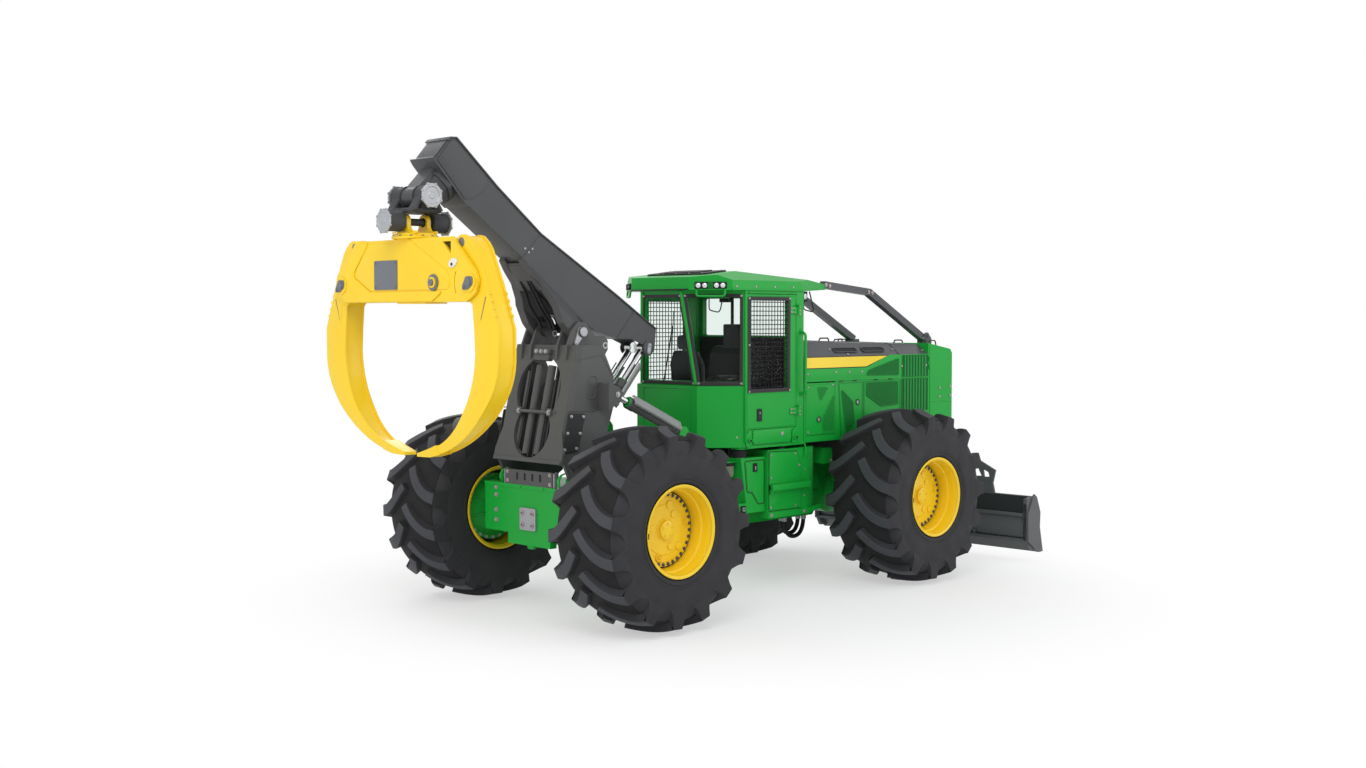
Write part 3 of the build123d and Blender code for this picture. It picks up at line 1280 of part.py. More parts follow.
# ---------------------------------------------------------------- hoses
hose_radius = 24
hose_top = 700 - seat_gap      # they come out of the front frame's underside
with BuildPart() as hose_loops:
    for y, x0, span, bottom in ((-335, 1066, 330, 470), (-265, 1090, 290, 500)):
        with BuildLine() as route:
            FilletPolyline((x0, y, hose_top), (x0, y, bottom), (x0 + span, y, bottom),
                           (x0 + span, y, hose_top), radius=span * 0.48)
        with BuildSketch(Plane(origin=(x0, y, hose_top), z_dir=(0, 0, -1))):
            Circle(hose_radius)
        sweep(path=route.line)
save(hose_loops, "hose_loops", 1)
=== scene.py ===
import json
import math

import bmesh
import bpy
from mathutils import Matrix, Vector
from mathutils.geometry import tessellate_polygon


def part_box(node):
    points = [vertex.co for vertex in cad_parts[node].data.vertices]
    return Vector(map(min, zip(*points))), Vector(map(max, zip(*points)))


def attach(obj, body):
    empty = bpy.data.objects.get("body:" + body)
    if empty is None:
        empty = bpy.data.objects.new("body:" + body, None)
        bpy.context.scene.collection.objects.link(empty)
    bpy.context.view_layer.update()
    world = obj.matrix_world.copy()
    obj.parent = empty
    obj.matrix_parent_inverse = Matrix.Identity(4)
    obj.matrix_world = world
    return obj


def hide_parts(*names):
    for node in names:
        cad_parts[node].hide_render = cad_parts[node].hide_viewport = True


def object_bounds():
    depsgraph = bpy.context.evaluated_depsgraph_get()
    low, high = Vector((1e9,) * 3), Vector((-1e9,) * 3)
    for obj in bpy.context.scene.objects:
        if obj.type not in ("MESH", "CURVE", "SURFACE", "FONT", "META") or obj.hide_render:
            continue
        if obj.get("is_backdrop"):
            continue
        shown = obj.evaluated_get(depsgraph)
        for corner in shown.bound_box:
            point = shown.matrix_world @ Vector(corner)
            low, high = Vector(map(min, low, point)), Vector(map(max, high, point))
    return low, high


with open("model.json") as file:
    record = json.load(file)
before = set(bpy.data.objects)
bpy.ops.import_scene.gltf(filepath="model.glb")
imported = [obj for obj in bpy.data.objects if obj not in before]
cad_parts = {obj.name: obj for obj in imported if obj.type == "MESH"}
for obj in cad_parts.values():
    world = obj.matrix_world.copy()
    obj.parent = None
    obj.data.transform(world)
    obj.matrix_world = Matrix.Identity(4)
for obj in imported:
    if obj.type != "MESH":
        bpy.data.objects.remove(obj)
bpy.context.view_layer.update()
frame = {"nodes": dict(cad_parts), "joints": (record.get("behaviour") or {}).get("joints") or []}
scene = bpy.context.scene
scene.view_settings.view_transform = "Standard"

# ------------ camera
# It stands low behind the machine's right side, at the height of the cab's windows, and looks
# forwards and to the left.
def put(name, data):
    """Puts a camera, lamp, mesh or curve into the scene as an object."""
    made = bpy.data.objects.new(name, data)
    scene.collection.objects.link(made)
    return made


lens = bpy.data.cameras.new("camera")
lens.sensor_width = 36.0
lens.lens = 40.65
lens.clip_end = 200
camera = put("camera", lens)
camera.location = (-12.184, -11.918, 2.964)
yaw, pitch = math.radians(45.186), math.radians(-2.4416)
look = Vector((math.cos(yaw) * math.cos(pitch), math.sin(yaw) * math.cos(pitch), math.sin(pitch)))
camera.rotation_euler = look.to_track_quat("-Z", "Y").to_euler()
scene.camera = camera

# ------------ studio floor and light
# A pale floor under soft lamps. Further out it turns into plain white, as a studio sweep does,
# and the machine's own shadow stays on it.
def new_material(name):
    """A material: its node tree and its main shader come with it."""
    made = bpy.data.materials.new(name)
    made.use_nodes = True
    return made, made.node_tree, made.node_tree.nodes["Principled BSDF"]


def give(made, inputs):
    """Sets a node's inputs: a node or its socket is linked, and anything else is the input's value."""
    for name, value in inputs.items():
        if isinstance(value, bpy.types.Node):
            value = value.outputs[0]
        if isinstance(value, bpy.types.NodeSocket):
            made.id_data.links.new(value, made.inputs[name])
        else:
            made.inputs[name].default_value = value


def node(tree, kind, inputs=None, **settings):
    """A node with its settings and its constant or linked inputs."""
    made = tree.nodes.new(kind)
    for name, value in settings.items():
        setattr(made, name, value)
    give(made, inputs or {})
    return made


def calc(tree, operation, *values):
    """What a maths node makes of its values."""
    return node(tree, "ShaderNodeMath", dict(enumerate(values)), operation=operation).outputs[0]


def seen_plainly(tree):
    """One for camera, glossy and transmission rays: what a lens, metal or glass sees."""
    path = node(tree, "ShaderNodeLightPath").outputs
    seen = calc(tree, "MAXIMUM", path["Is Camera Ray"], path["Is Glossy Ray"])
    return calc(tree, "MAXIMUM", seen, path["Is Transmission Ray"])


world = bpy.data.worlds.new("studio")
scene.world = world
world.use_nodes = True
sky = world.node_tree
room = sky.nodes["Background"]
give(room, {"Color": (0.95, 0.97, 1.0, 1), "Strength": 0.62})
white = node(sky, "ShaderNodeBackground", {"Color": (1, 1, 1, 1), "Strength": 1.0})
pick = node(sky, "ShaderNodeMixShader", {0: seen_plainly(sky), 1: room, 2: white})
give(sky.nodes["World Output"], {0: pick})

floor_look, tree, shader = new_material("studio_floor")
place = node(tree, "ShaderNodeTexCoord").outputs["Object"]
grain = node(tree, "ShaderNodeTexNoise", {"Vector": place, "Scale": 3.0})
tint = node(tree, "ShaderNodeMapRange", {"Value": grain.outputs["Fac"], "To Min": 0.88, "To Max": 0.92})
give(shader, {"Base Color": tint, "Roughness": 0.9, "Specular IOR Level": 0.1})
reach = node(tree, "ShaderNodeVectorMath", {0: place}, operation="LENGTH")
fade = node(tree, "ShaderNodeMapRange", {"Value": reach.outputs["Value"], "From Min": 2.6, "From Max": 5.4,
    "To Min": 0.5}, interpolation_type="SMOOTHSTEP")
share = calc(tree, "MULTIPLY", fade, seen_plainly(tree))
glow = node(tree, "ShaderNodeEmission", {"Color": (1, 1, 1, 1), "Strength": 1.0})
sweep = node(tree, "ShaderNodeMixShader", {0: share, 1: shader, 2: glow})
give(tree.nodes["Material Output"], {0: sweep})
bpy.ops.mesh.primitive_plane_add(size=160, location=(0, 0, -0.001))
floor = bpy.context.object
floor.name = "studio_floor"
floor.data.materials.append(floor_look)
floor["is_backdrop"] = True

for name, spot, size, power in (("key", (-10.0, -8.0, 12.0), 7.0, 760),
        ("fill", (8.0, -11.0, 6.0), 9.0, 400), ("back", (2.0, 11.0, 10.0), 8.0, 480),
        ("rear", (-12.0, 1.0, 4.0), 6.0, 160)):
    lamp = bpy.data.lights.new(name, "AREA")
    lamp.size = size
    lamp.energy = power
    lit = put(name, lamp)
    lit.location = spot
    towards = Vector((-0.3, 0, 1.4)) - Vector(spot)
    lit.rotation_euler = towards.to_track_quat("-Z", "Y").to_euler()

# ------------ tyres
# Forestry tyres of black rubber: a wide carcass with two interleaved sets of deep lugs. Each lug
# starts at the middle of the tread, curves outwards and runs down over the shoulder, where the
# hollows between the lugs end in points on the sidewall.
pin_x = next(j["pos_m"][0] for j in frame["joints"] if j["name"] == "steering")
TO_FRAME = Matrix.Translation((pin_x, 0, 0)) @ Matrix.Scale(0.001, 4)   # pieces are drawn in mm


def srgb(red, green, blue):
    """A colour as it is seen, turned into the linear numbers that a shader takes."""
    return tuple(v / 255 / 12.92 if v <= 10 else ((v / 255 + 0.055) / 1.055) ** 2.4
        for v in (red, green, blue)) + (1,)


def finish(name, colours, rough, bump=0.1, grain=160, cloud=2.2, coat=0, metal=0, edge=0.003, depth=0.002,
        detail=4):
    """A procedural finish: two close tones in soft clouds, uneven gloss, grain and soft edges."""
    made, tree, shader = new_material(name)
    place = node(tree, "ShaderNodeTexCoord").outputs["Object"]
    soft = node(tree, "ShaderNodeTexNoise", {"Vector": place, "Scale": cloud, "Detail": 5.0})
    tones = node(tree, "ShaderNodeMix", {"Factor": soft.outputs["Fac"], "A": srgb(*colours[0]),
        "B": srgb(*colours[1])}, data_type="RGBA")
    sheen = node(tree, "ShaderNodeMapRange", {"Value": soft.outputs["Fac"], "To Min": rough[0],
        "To Max": rough[1]})
    fine = node(tree, "ShaderNodeTexNoise", {"Vector": place, "Scale": grain, "Detail": detail})
    lift = node(tree, "ShaderNodeBump", {"Strength": bump, "Distance": depth, "Height": fine.outputs["Fac"]})
    if edge:
        worn = node(tree, "ShaderNodeBevel", {"Radius": edge}, samples=4)
        give(lift, {"Normal": worn})
    give(shader, {"Base Color": tones.outputs["Result"], "Roughness": sheen, "Normal": lift,
        "Specular IOR Level": 0.5 if metal else 0.2, "Coat Weight": coat, "Coat Roughness": 0.1,
        "Metallic": metal})
    return made


tyre_rubber = finish("tyre_rubber", ((55, 55, 58), (45, 45, 48)), (0.55, 0.75), bump=0.4, grain=60, cloud=6,
    edge=0.003, depth=0.003)
lug_rubber = finish("lug_rubber", ((72, 74, 79), (60, 61, 65)), (0.5, 0.7), bump=0.4)
hollow_shade_rubber = finish("hollow_shade_rubber", ((42, 42, 43), (32, 32, 33)), (0.7, 0.85), bump=0.5, grain=40,
    cloud=4, edge=0.003, depth=0.004)


def piece(name, bm, material, body="front_chassis", replaces=(), bevel=0, segments=2, smooth=30):
    """Closes, cleans and places a mesh drawn in mm, and lets it ride on a body."""
    bmesh.ops.remove_doubles(bm, verts=bm.verts, dist=0.02)
    bmesh.ops.recalc_face_normals(bm, faces=bm.faces)
    if bevel:
        bmesh.ops.dissolve_limit(bm, angle_limit=math.radians(1), verts=bm.verts, edges=bm.edges)
        sharp = [e for e in bm.edges if e.is_manifold and e.calc_face_angle(0) > math.radians(25)]
        bmesh.ops.bevel(bm, geom=sharp, offset=bevel, segments=segments, profile=0.7, affect="EDGES",
            clamp_overlap=True)
    bmesh.ops.triangulate(bm, faces=[f for f in bm.faces if len(f.verts) > 4])
    mesh = bpy.data.meshes.new(name)
    bm.to_mesh(mesh)
    bm.free()
    return placed(name, mesh, material, body, replaces, smooth)


def placed(name, mesh, material, body="front_chassis", replaces=(), smooth=30):
    """Turns a mesh drawn in mm into a piece in the machine's frame."""
    mesh.transform(TO_FRAME)
    mesh.materials.clear()
    mesh.materials.append(material)
    mesh.shade_smooth()
    mesh.set_sharp_from_angle(angle=math.radians(smooth))
    made = put(name, mesh)
    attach(made, body)
    if replaces:
        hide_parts(*replaces)
    return made


def lathe(bm, profile, centre, steps=96, axis="y", close=True):
    """Turns a profile of (distance along the axis, radius) points about an axis through centre."""
    axes = {"x": (1, 0, 0), "y": (0, 1, 0), "z": (0, 0, 1)}
    way = Vector(axes[axis] if isinstance(axis, str) else axis).normalized()
    u = way.orthogonal().normalized() if abs(way.z) < 1 else Vector((1, 0, 0))
    v = way.cross(u)
    rings = []
    for along, radius in profile:
        ring = []
        for i in range(steps):
            a = 2 * math.pi * i / steps
            spot = Vector(centre) + way * along + u * radius * math.sin(a) + v * radius * math.cos(a)
            ring.append(bm.verts.new(spot))
        rings.append(ring)
    pairs = list(zip(rings, rings[1:])) + ([(rings[-1], rings[0])] if close else [])
    for one, two in pairs:
        for i in range(steps):
            j = (i + 1) % steps
            bm.faces.new((one[i], one[j], two[j], two[i]))


def nodes_tree(name, *inputs):
    """A Geometry Nodes tree with a geometry going through it and other named inputs."""
    tree = bpy.data.node_groups.new(name, "GeometryNodeTree")
    tree.interface.new_socket("Geometry", in_out="INPUT", socket_type="NodeSocketGeometry")
    tree.interface.new_socket("Geometry", in_out="OUTPUT", socket_type="NodeSocketGeometry")
    for label, kind in inputs:
        tree.interface.new_socket(label, in_out="INPUT", socket_type="NodeSocket" + kind)
    return tree, tree.nodes.new("NodeGroupInput").outputs, tree.nodes.new("NodeGroupOutput")


def end_tree(tree, geometry, material, end):
    """Every tree ends in real geometry that has its material."""
    real = node(tree, "GeometryNodeRealizeInstances", {0: geometry})
    done = node(tree, "GeometryNodeSetMaterial", {"Geometry": real, "Material": material})
    give(end, {0: done})


def settled(source):
    """A plain mesh of what an object's modifiers make of it. The object and its modifiers go."""
    graph = bpy.context.evaluated_depsgraph_get()
    shape = bpy.data.meshes.new_from_object(source.evaluated_get(graph))
    source.modifiers.clear()
    bpy.data.objects.remove(source)
    return shape


def grown(name, mesh, tree, **values):
    """What a tree makes of a mesh, as a plain mesh. Values are named as the tree's inputs are."""
    source = put(name, mesh)
    rule = source.modifiers.new(name, "NODES")
    rule.node_group = tree
    for item in tree.interface.items_tree:
        if item.in_out == "INPUT" and item.name in values:
            rule[item.identifier] = values[item.name]
    shape = settled(source)
    shape.name = name
    return shape


# copies of a piece, turned about one of the main axes and then moved to a centre
round_tree, given, end = nodes_tree("copies_in_a_ring", ("Count", "Int"), ("Axis", "Vector"),
    ("Centre", "Vector"), ("Material", "Material"))
dots = node(round_tree, "GeometryNodePoints", {"Count": given["Count"]})
step = calc(round_tree, "DIVIDE", 2 * math.pi, given["Count"])
turn = calc(round_tree, "MULTIPLY", node(round_tree, "GeometryNodeInputIndex"), step)
euler = node(round_tree, "ShaderNodeVectorMath", {0: given["Axis"], "Scale": turn}, operation="SCALE")
facing = node(round_tree, "FunctionNodeEulerToRotation", {0: euler})
ring = node(round_tree, "GeometryNodeInstanceOnPoints",
    {"Points": dots, "Instance": given["Geometry"], "Rotation": facing})
moved = node(round_tree, "GeometryNodeTransform", {"Geometry": ring, "Translation": given["Centre"]})
end_tree(round_tree, moved, given["Material"], end)


def mesh_of(name, bm):
    """A plain mesh from a bmesh, closed and facing outwards."""
    bmesh.ops.remove_doubles(bm, verts=bm.verts, dist=0.02)
    bmesh.ops.recalc_face_normals(bm, faces=bm.faces)
    mesh = bpy.data.meshes.new(name)
    bm.to_mesh(mesh)
    bm.free()
    return mesh


LUGS = 15
TREAD_RADIUS = 973
TREAD_HALF = 438
LUG_SWEEP = math.radians(20)


def tread_radius(y):
    """The lugs' tops: a shallow arch across the tyre."""
    return TREAD_RADIUS - 66 * (abs(y) / TREAD_HALF) ** 2.2


def carcass_radius(y):
    """The tyre between its lugs."""
    return 918 - 82 * (abs(y) / 400) ** 2.4


def lug(bm, side):
    """One lug on one side of the tread, about the wheel's own centre."""
    stations = []
    for i in range(11):
        u = 0.06 + 0.86 * i / 10
        y = u * TREAD_HALF
        sweep = -LUG_SWEEP * (1 - (1 - u) ** 1.9)
        # how far the lug runs round the tyre for each mm across it; its sides stay square to that
        slope = -LUG_SWEEP * 1.9 * (1 - u) ** 0.9 * TREAD_RADIUS / TREAD_HALF
        stations.append((y, tread_radius(y), y, carcass_radius(y) - 12, sweep, 46 + 8 * u, 60 + 12 * u,
            slope))
    last = -LUG_SWEEP
    stations += [(TREAD_HALF - 6, tread_radius(TREAD_HALF - 6), 385, 832, last, 57, 78, 0),
        (TREAD_HALF, 850, 398, 800, last - 0.004, 62, 86, 0), (TREAD_HALF, 785, 408, 765, last - 0.01, 84,
        110, 0), (TREAD_HALF - 2, 718, 420, 722, last - 0.015, 140, 146, 0)]
    rows = []
    for top_y, top_r, base_y, base_r, sweep, top_w, base_w, slope in stations:
        across = 1 / math.hypot(1, slope)
        row = []
        for y, r, w in ((base_y, base_r, -base_w), (top_y, top_r - 7, -top_w - 3),
                (top_y, top_r, -top_w + 4), (top_y, top_r, top_w - 4), (top_y, top_r - 7, top_w + 3),
                (base_y, base_r, base_w)):
            a = sweep + w * across / r
            out = y - w * slope * across
            row.append(bm.verts.new((r * math.sin(a), side * out, r * math.cos(a))))
        rows.append(row)
    for one, two in zip(rows, rows[1:]):
        for i in range(len(one)):
            j = (i + 1) % len(one)
            bm.faces.new((one[i], one[j], two[j], two[i]))
    bm.faces.new(rows[0])
    bm.faces.new(rows[-1])


half_profile = [(398, 408), (400, 452), (414, 456), (TREAD_HALF - 10, 474), (TREAD_HALF - 4, 520),
    (TREAD_HALF - 1, 560), (TREAD_HALF, 640), (TREAD_HALF - 1, 716), (TREAD_HALF - 14, 768), (404, 812),
    (372, 842)]
half_profile += [(y, carcass_radius(y)) for y in (320, 240, 160, 80)]
carcass_profile = ([(-y, r) for y, r in half_profile] + [(0, carcass_radius(0))] + half_profile[::-1])
for wheel_end in ("front", "rear"):
    for side, s in (("right", -1), ("left", 1)):
        wheel = f"wheel_{wheel_end}_{side}"
        low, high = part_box(f"tyre_{wheel_end}_{side}")
        middle = (low + high) / 2
        hub = (1000 * (middle.x - pin_x), 1000 * middle.y, 1000 * middle.z)
        bm = bmesh.new()
        lathe(bm, carcass_profile, hub, 120)
        # fine mould lines on the sidewalls
        for out in (-1, 1):
            for r in (500, 530, 690):
                lathe(bm, [(out * (TREAD_HALF - 7), r - 4), (out * (TREAD_HALF - 0.5), r),
                    (out * (TREAD_HALF - 7), r + 4)], hub, 96)
        one_lug = bmesh.new()
        lug(one_lug, 1)
        other = bmesh.new()
        lug(other, -1)
        bmesh.ops.rotate(other, verts=other.verts, matrix=Matrix.Rotation(math.pi / LUGS, 3, "Y"))
        extra = bpy.data.meshes.new("other")
        other.to_mesh(extra)
        one_lug.from_mesh(extra)
        other.free()
        pair = mesh_of("lug_pair", one_lug)
        lugs = grown("lugs", pair, round_tree, Count=LUGS, Axis=(0, 1, 0), Centre=hub, Material=tyre_rubber)
        bm.from_mesh(lugs)
        # painted shade: darker rubber in the hollows of the tread, where the lugs shade it
        crown = [(40 * k, carcass_radius(40 * k)) for k in range(-9, 10)]
        hollows = bmesh.new()
        lathe(hollows, [(y, r + 1.5) for y, r in crown] + [(y, r - 4) for y, r in crown[::-1]], hub, 120)
        piece(f"tyre_hollow_shade_{wheel_end}_{side}", hollows, hollow_shade_rubber, wheel)
        tyre = piece(f"forest_tyre_{wheel_end}_{side}", bm, tyre_rubber, wheel,
            replaces=[f"tyre_{wheel_end}_{side}"], smooth=28)
        # the lugs' tops get a paler rubber
        tyre.data.materials.append(lug_rubber)
        for polygon in tyre.data.polygons:
            out = polygon.center - middle
            if math.hypot(out.x, out.z) > tread_radius(1000 * out.y) / 1000 - 0.0035:
                polygon.material_index = 1

# ------------ tongs
# Two curved box-section tongs of yellow steel plate: side plates stand proud of the wrapper
# plates between them. Each has a hard tip, a doubler at its hinge and pins for hinge and ram.
yellow_enamel = finish("yellow_enamel", ((249, 212, 42), (243, 200, 25)), (0.3, 0.42), coat=0.3)
pin_steel = finish("pin_steel", ((118, 122, 130), (98, 101, 108)), (0.35, 0.5), metal=0.35)
opening_shade = finish("opening_shade", ((70, 62, 38), (58, 50, 30)), (0.6, 0.7), edge=0)

GRAPPLE_X = -3727


def arc(start, middle, end, count=9):
    """Points of the arc through three points."""
    (ax, ay), (bx, by), (cx, cy) = start, middle, end
    d = 2 * (ax * (by - cy) + bx * (cy - ay) + cx * (ay - by))
    a2, b2, c2 = ax * ax + ay * ay, bx * bx + by * by, cx * cx + cy * cy
    ux = (a2 * (by - cy) + b2 * (cy - ay) + c2 * (ay - by)) / d
    uy = (a2 * (cx - bx) + b2 * (ax - cx) + c2 * (bx - ax)) / d
    radius = math.hypot(ax - ux, ay - uy)
    first, mid, last = (math.atan2(y - uy, x - ux) for x, y in (start, middle, end))
    turn = (last - first) % (2 * math.pi)
    if (mid - first) % (2 * math.pi) > turn:
        turn -= 2 * math.pi
    return [(ux + radius * math.cos(first + turn * i / count),
        uy + radius * math.sin(first + turn * i / count)) for i in range(count + 1)]


def rounded(points, radius, count=4):
    """A closed outline with its corners rounded; radius is one value or one for each corner."""
    radii = radius if isinstance(radius, (list, tuple)) else [radius] * len(points)
    made = []
    for i, (point, r) in enumerate(zip(points, radii)):
        here = Vector(point)
        back = Vector(points[i - 1]) - here
        ahead = Vector(points[(i + 1) % len(points)]) - here
        angle = back.angle(ahead)
        if r <= 0 or angle > 3.1:
            made.append(tuple(here))
            continue
        cut = min(r / math.tan(angle / 2), 0.48 * back.length, 0.48 * ahead.length)
        start, end = here + back.normalized() * cut, here + ahead.normalized() * cut
        for k in range(count + 1):
            t = k / count
            made.append(tuple(start * (1 - t) ** 2 + here * 2 * t * (1 - t) + end * t * t))
    return made


def rect(x0, y0, x1, y1):
    """The corners of a rectangle."""
    return [(x0, y0), (x1, y0), (x1, y1), (x0, y1)]


def inset(points, gap):
    """A closed outline moved in by a gap all round."""
    area = sum(a[0] * b[1] - b[0] * a[1] for a, b in zip(points, points[1:] + points[:1]))
    way = 1 if area > 0 else -1
    made = []
    for i, point in enumerate(points):
        here = Vector(point)
        a = (here - Vector(points[i - 1])).normalized()
        b = (Vector(points[(i + 1) % len(points)]) - here).normalized()
        na, nb = Vector((-a.y, a.x)) * way, Vector((-b.y, b.x)) * way
        mid = na + nb
        made.append(tuple(here + mid * (gap / max(0.35, mid.dot(na)))))
    return made


def plane(origin, u, v):
    """The drawing plane through a point, with its two directions; plates grow along u x v."""
    u, v = Vector(u).normalized(), Vector(v).normalized()
    w = u.cross(v)
    return Matrix(((u.x, v.x, w.x, origin[0]), (u.y, v.y, w.y, origin[1]), (u.z, v.z, w.z, origin[2]),
        (0, 0, 0, 1)))


def side_plane(y):
    """Drawing (x, z) on a plane at y; plates grow towards the machine's right."""
    return plane((0, y, 0), (1, 0, 0), (0, 0, 1))


def cross_plane(x):
    """Drawing (y, z) on a plane at x; plates grow forwards."""
    return plane((x, 0, 0), (0, 1, 0), (0, 0, 1))


def normal(where, way=1):
    """The way that plates grow from a drawing plane, or with -1 the other way."""
    return where.to_3x3() @ Vector((0, 0, way))


def on(where, depth, points):
    """Points of a drawing, at a depth over its plane."""
    return [where @ Vector((x, y, depth)) for x, y in points]


def at_y(y, points):
    """Points (x, z) of a side drawing, at y."""
    return [(x, y, z) for x, z in points]


def sided(s, profile):
    """A profile that runs to the left for 1 and to the right for -1."""
    return [(s * along, r) for along, r in profile]


def pin(start, r0, end, r1):
    """The profile of a round pin with its two ends."""
    return [(start, 0.1), (start, r0), (end, r1), (end, 0.1)]


def around(centre, radius, count):
    """Points round a centre, seen from the side."""
    x, y, z = centre
    return at_y(y, disc(radius, (x, z), count))


def plate(bm, outline, where, start, end, holes=()):
    """A plate cut to an outline, with holes, between two depths over its drawing plane."""
    loops = [list(outline)] + [list(h) for h in holes]
    flat = [Vector((x, y, 0)) for loop in loops for x, y in loop]
    low = [bm.verts.new(where @ Vector((p.x, p.y, start))) for p in flat]
    high = [bm.verts.new(where @ Vector((p.x, p.y, end))) for p in flat]
    if holes:
        for a, b, c in tessellate_polygon([[Vector((x, y, 0)) for x, y in loop] for loop in loops]):
            bm.faces.new((low[a], low[b], low[c]))
            bm.faces.new((high[c], high[b], high[a]))
    else:
        bm.faces.new(low)
        bm.faces.new(high[::-1])
    first = 0
    for loop in loops:
        n = len(loop)
        for i in range(n):
            a, b = first + i, first + (i + 1) % n
            bm.faces.new((low[a], low[b], high[b], high[a]))
        first += n


def disc(radius, centre=(0, 0), count=32, start=0.0):
    """A round outline."""
    return [(centre[0] + radius * math.cos(start + 2 * math.pi * i / count),
        centre[1] + radius * math.sin(start + 2 * math.pi * i / count)) for i in range(count)]


def box(bm, x0, x1, y0, y1, z0, z1):
    """A rectangular bar or plate."""
    plate(bm, rect(x0, y0, x1, y1), Matrix(), z0, z1)


# bolt heads on washers, one at each point of a mesh, standing along its attribute "out"
bolt_tree, given, end = nodes_tree("bolts", ("Sides", "Int"), ("Across", "Float"), ("Height", "Float"),
    ("Washer", "Float"), ("Material", "Material"))
out_way = node(bolt_tree, "GeometryNodeInputNamedAttribute", {"Name": "out"}, data_type="FLOAT_VECTOR")
heads = []
for sides, wide, share in ((given["Sides"], given["Across"], 1.0), (16, given["Washer"], 0.35)):
    deep = calc(bolt_tree, "MULTIPLY", given["Height"], share)
    up = node(bolt_tree, "ShaderNodeCombineXYZ", {"Z": calc(bolt_tree, "MULTIPLY", deep, 0.5)})
    shank = node(bolt_tree, "GeometryNodeMeshCylinder", {"Vertices": sides,
        "Radius": calc(bolt_tree, "MULTIPLY", wide, 0.5), "Depth": deep})
    heads.append(node(bolt_tree, "GeometryNodeTransform", {"Geometry": shank, "Translation": up}))
one_bolt = node(bolt_tree, "GeometryNodeJoinGeometry")
for head in heads:
    give(one_bolt, {0: head})
aim = node(bolt_tree, "FunctionNodeAlignRotationToVector", {"Vector": out_way.outputs["Attribute"]},
    axis="Z")
sown = node(bolt_tree, "GeometryNodeInstanceOnPoints",
    {"Points": given["Geometry"], "Instance": one_bolt, "Rotation": aim})
end_tree(bolt_tree, sown, given["Material"], end)

# bars, tubes, slats and weld beads along the edges of a mesh, with bends at its corners
bar_tree, given, end = nodes_tree("bars", ("Sides", "Int"), ("Width", "Float"), ("Height", "Float"),
    ("Bend", "Float"), ("Flat", "Bool"), ("Material", "Material"))
ways = node(bar_tree, "GeometryNodeMeshToCurve", {"Mesh": given["Geometry"]})
bent = node(bar_tree, "GeometryNodeFilletCurve", {"Curve": ways, "Radius": given["Bend"]})
for socket in bent.inputs:
    if socket.name == "Limit Radius":
        socket.default_value = True
    if socket.name == "Count":
        socket.default_value = 5
bent.mode = "POLY"
out_way = node(bar_tree, "GeometryNodeInputNamedAttribute", {"Name": "out"}, data_type="FLOAT_VECTOR")
stood = node(bar_tree, "GeometryNodeSetCurveNormal", {"Curve": bent}, mode="FREE")
give(stood, {"Normal": out_way.outputs["Attribute"]})
choice = node(bar_tree, "GeometryNodeSwitch", {"Switch": given["Flat"], "False": bent, "True": stood},
    input_type="GEOMETRY")
part_turn = calc(bar_tree, "DIVIDE", math.pi, given["Sides"])
inner_share = calc(bar_tree, "COSINE", part_turn)
spun = node(bar_tree, "ShaderNodeCombineXYZ", {"Z": part_turn})
half_sizes = [calc(bar_tree, "DIVIDE", calc(bar_tree, "MULTIPLY", given[label], 0.5), inner_share)
    for label in ("Height", "Width")]
sized = node(bar_tree, "ShaderNodeCombineXYZ", {"X": half_sizes[0], "Y": half_sizes[1], "Z": 1.0})
round_line = node(bar_tree, "GeometryNodeCurvePrimitiveCircle",
    {"Resolution": given["Sides"], "Radius": 1.0})
aligned = node(bar_tree, "GeometryNodeTransform", {"Geometry": round_line, "Rotation": spun})
profile = node(bar_tree, "GeometryNodeTransform", {"Geometry": aligned, "Scale": sized})
swept = node(bar_tree, "GeometryNodeCurveToMesh", {"Curve": choice, "Profile Curve": profile,
    "Fill Caps": True})
end_tree(bar_tree, swept, given["Material"], end)


def lines_mesh(paths, outs, close=False):
    """Loose points or connected lines, each with the direction it faces."""
    bm = bmesh.new()
    layer = bm.verts.layers.float_vector.new("out")
    for path, out in zip(paths, outs):
        spots = []
        for point in path:
            spot = bm.verts.new(point)
            spot[layer] = out
            spots.append(spot)
        for one, two in zip(spots, spots[1:] + (spots[:1] if close else [])):
            bm.edges.new((one, two))
    mesh = bpy.data.meshes.new("lines")
    bm.to_mesh(mesh)
    bm.free()
    return mesh


def bolts(bm, spots, out, across=24, height=14, sides=6, washer=1.7):
    """Bolts at some spots, all facing the same way, added to a piece."""
    made = grown("bolts", lines_mesh([[s] for s in spots], [out] * len(spots)), bolt_tree, Sides=sides,
        Across=float(across), Height=float(height), Washer=float(across * washer), Material=yellow_enamel)
    bm.from_mesh(made)


def bars(bm, paths, width, height=0, sides=8, bend=0, out=None, close=False):
    """Bars along some paths, added to a piece; height is measured along out."""
    made = grown("bars", lines_mesh(paths, [out or (0, 0, 1)] * len(paths), close), bar_tree, Sides=sides,
        Width=float(width), Height=float(height or width), Bend=float(bend), Flat=out is not None,
        Material=yellow_enamel)
    bm.from_mesh(made)


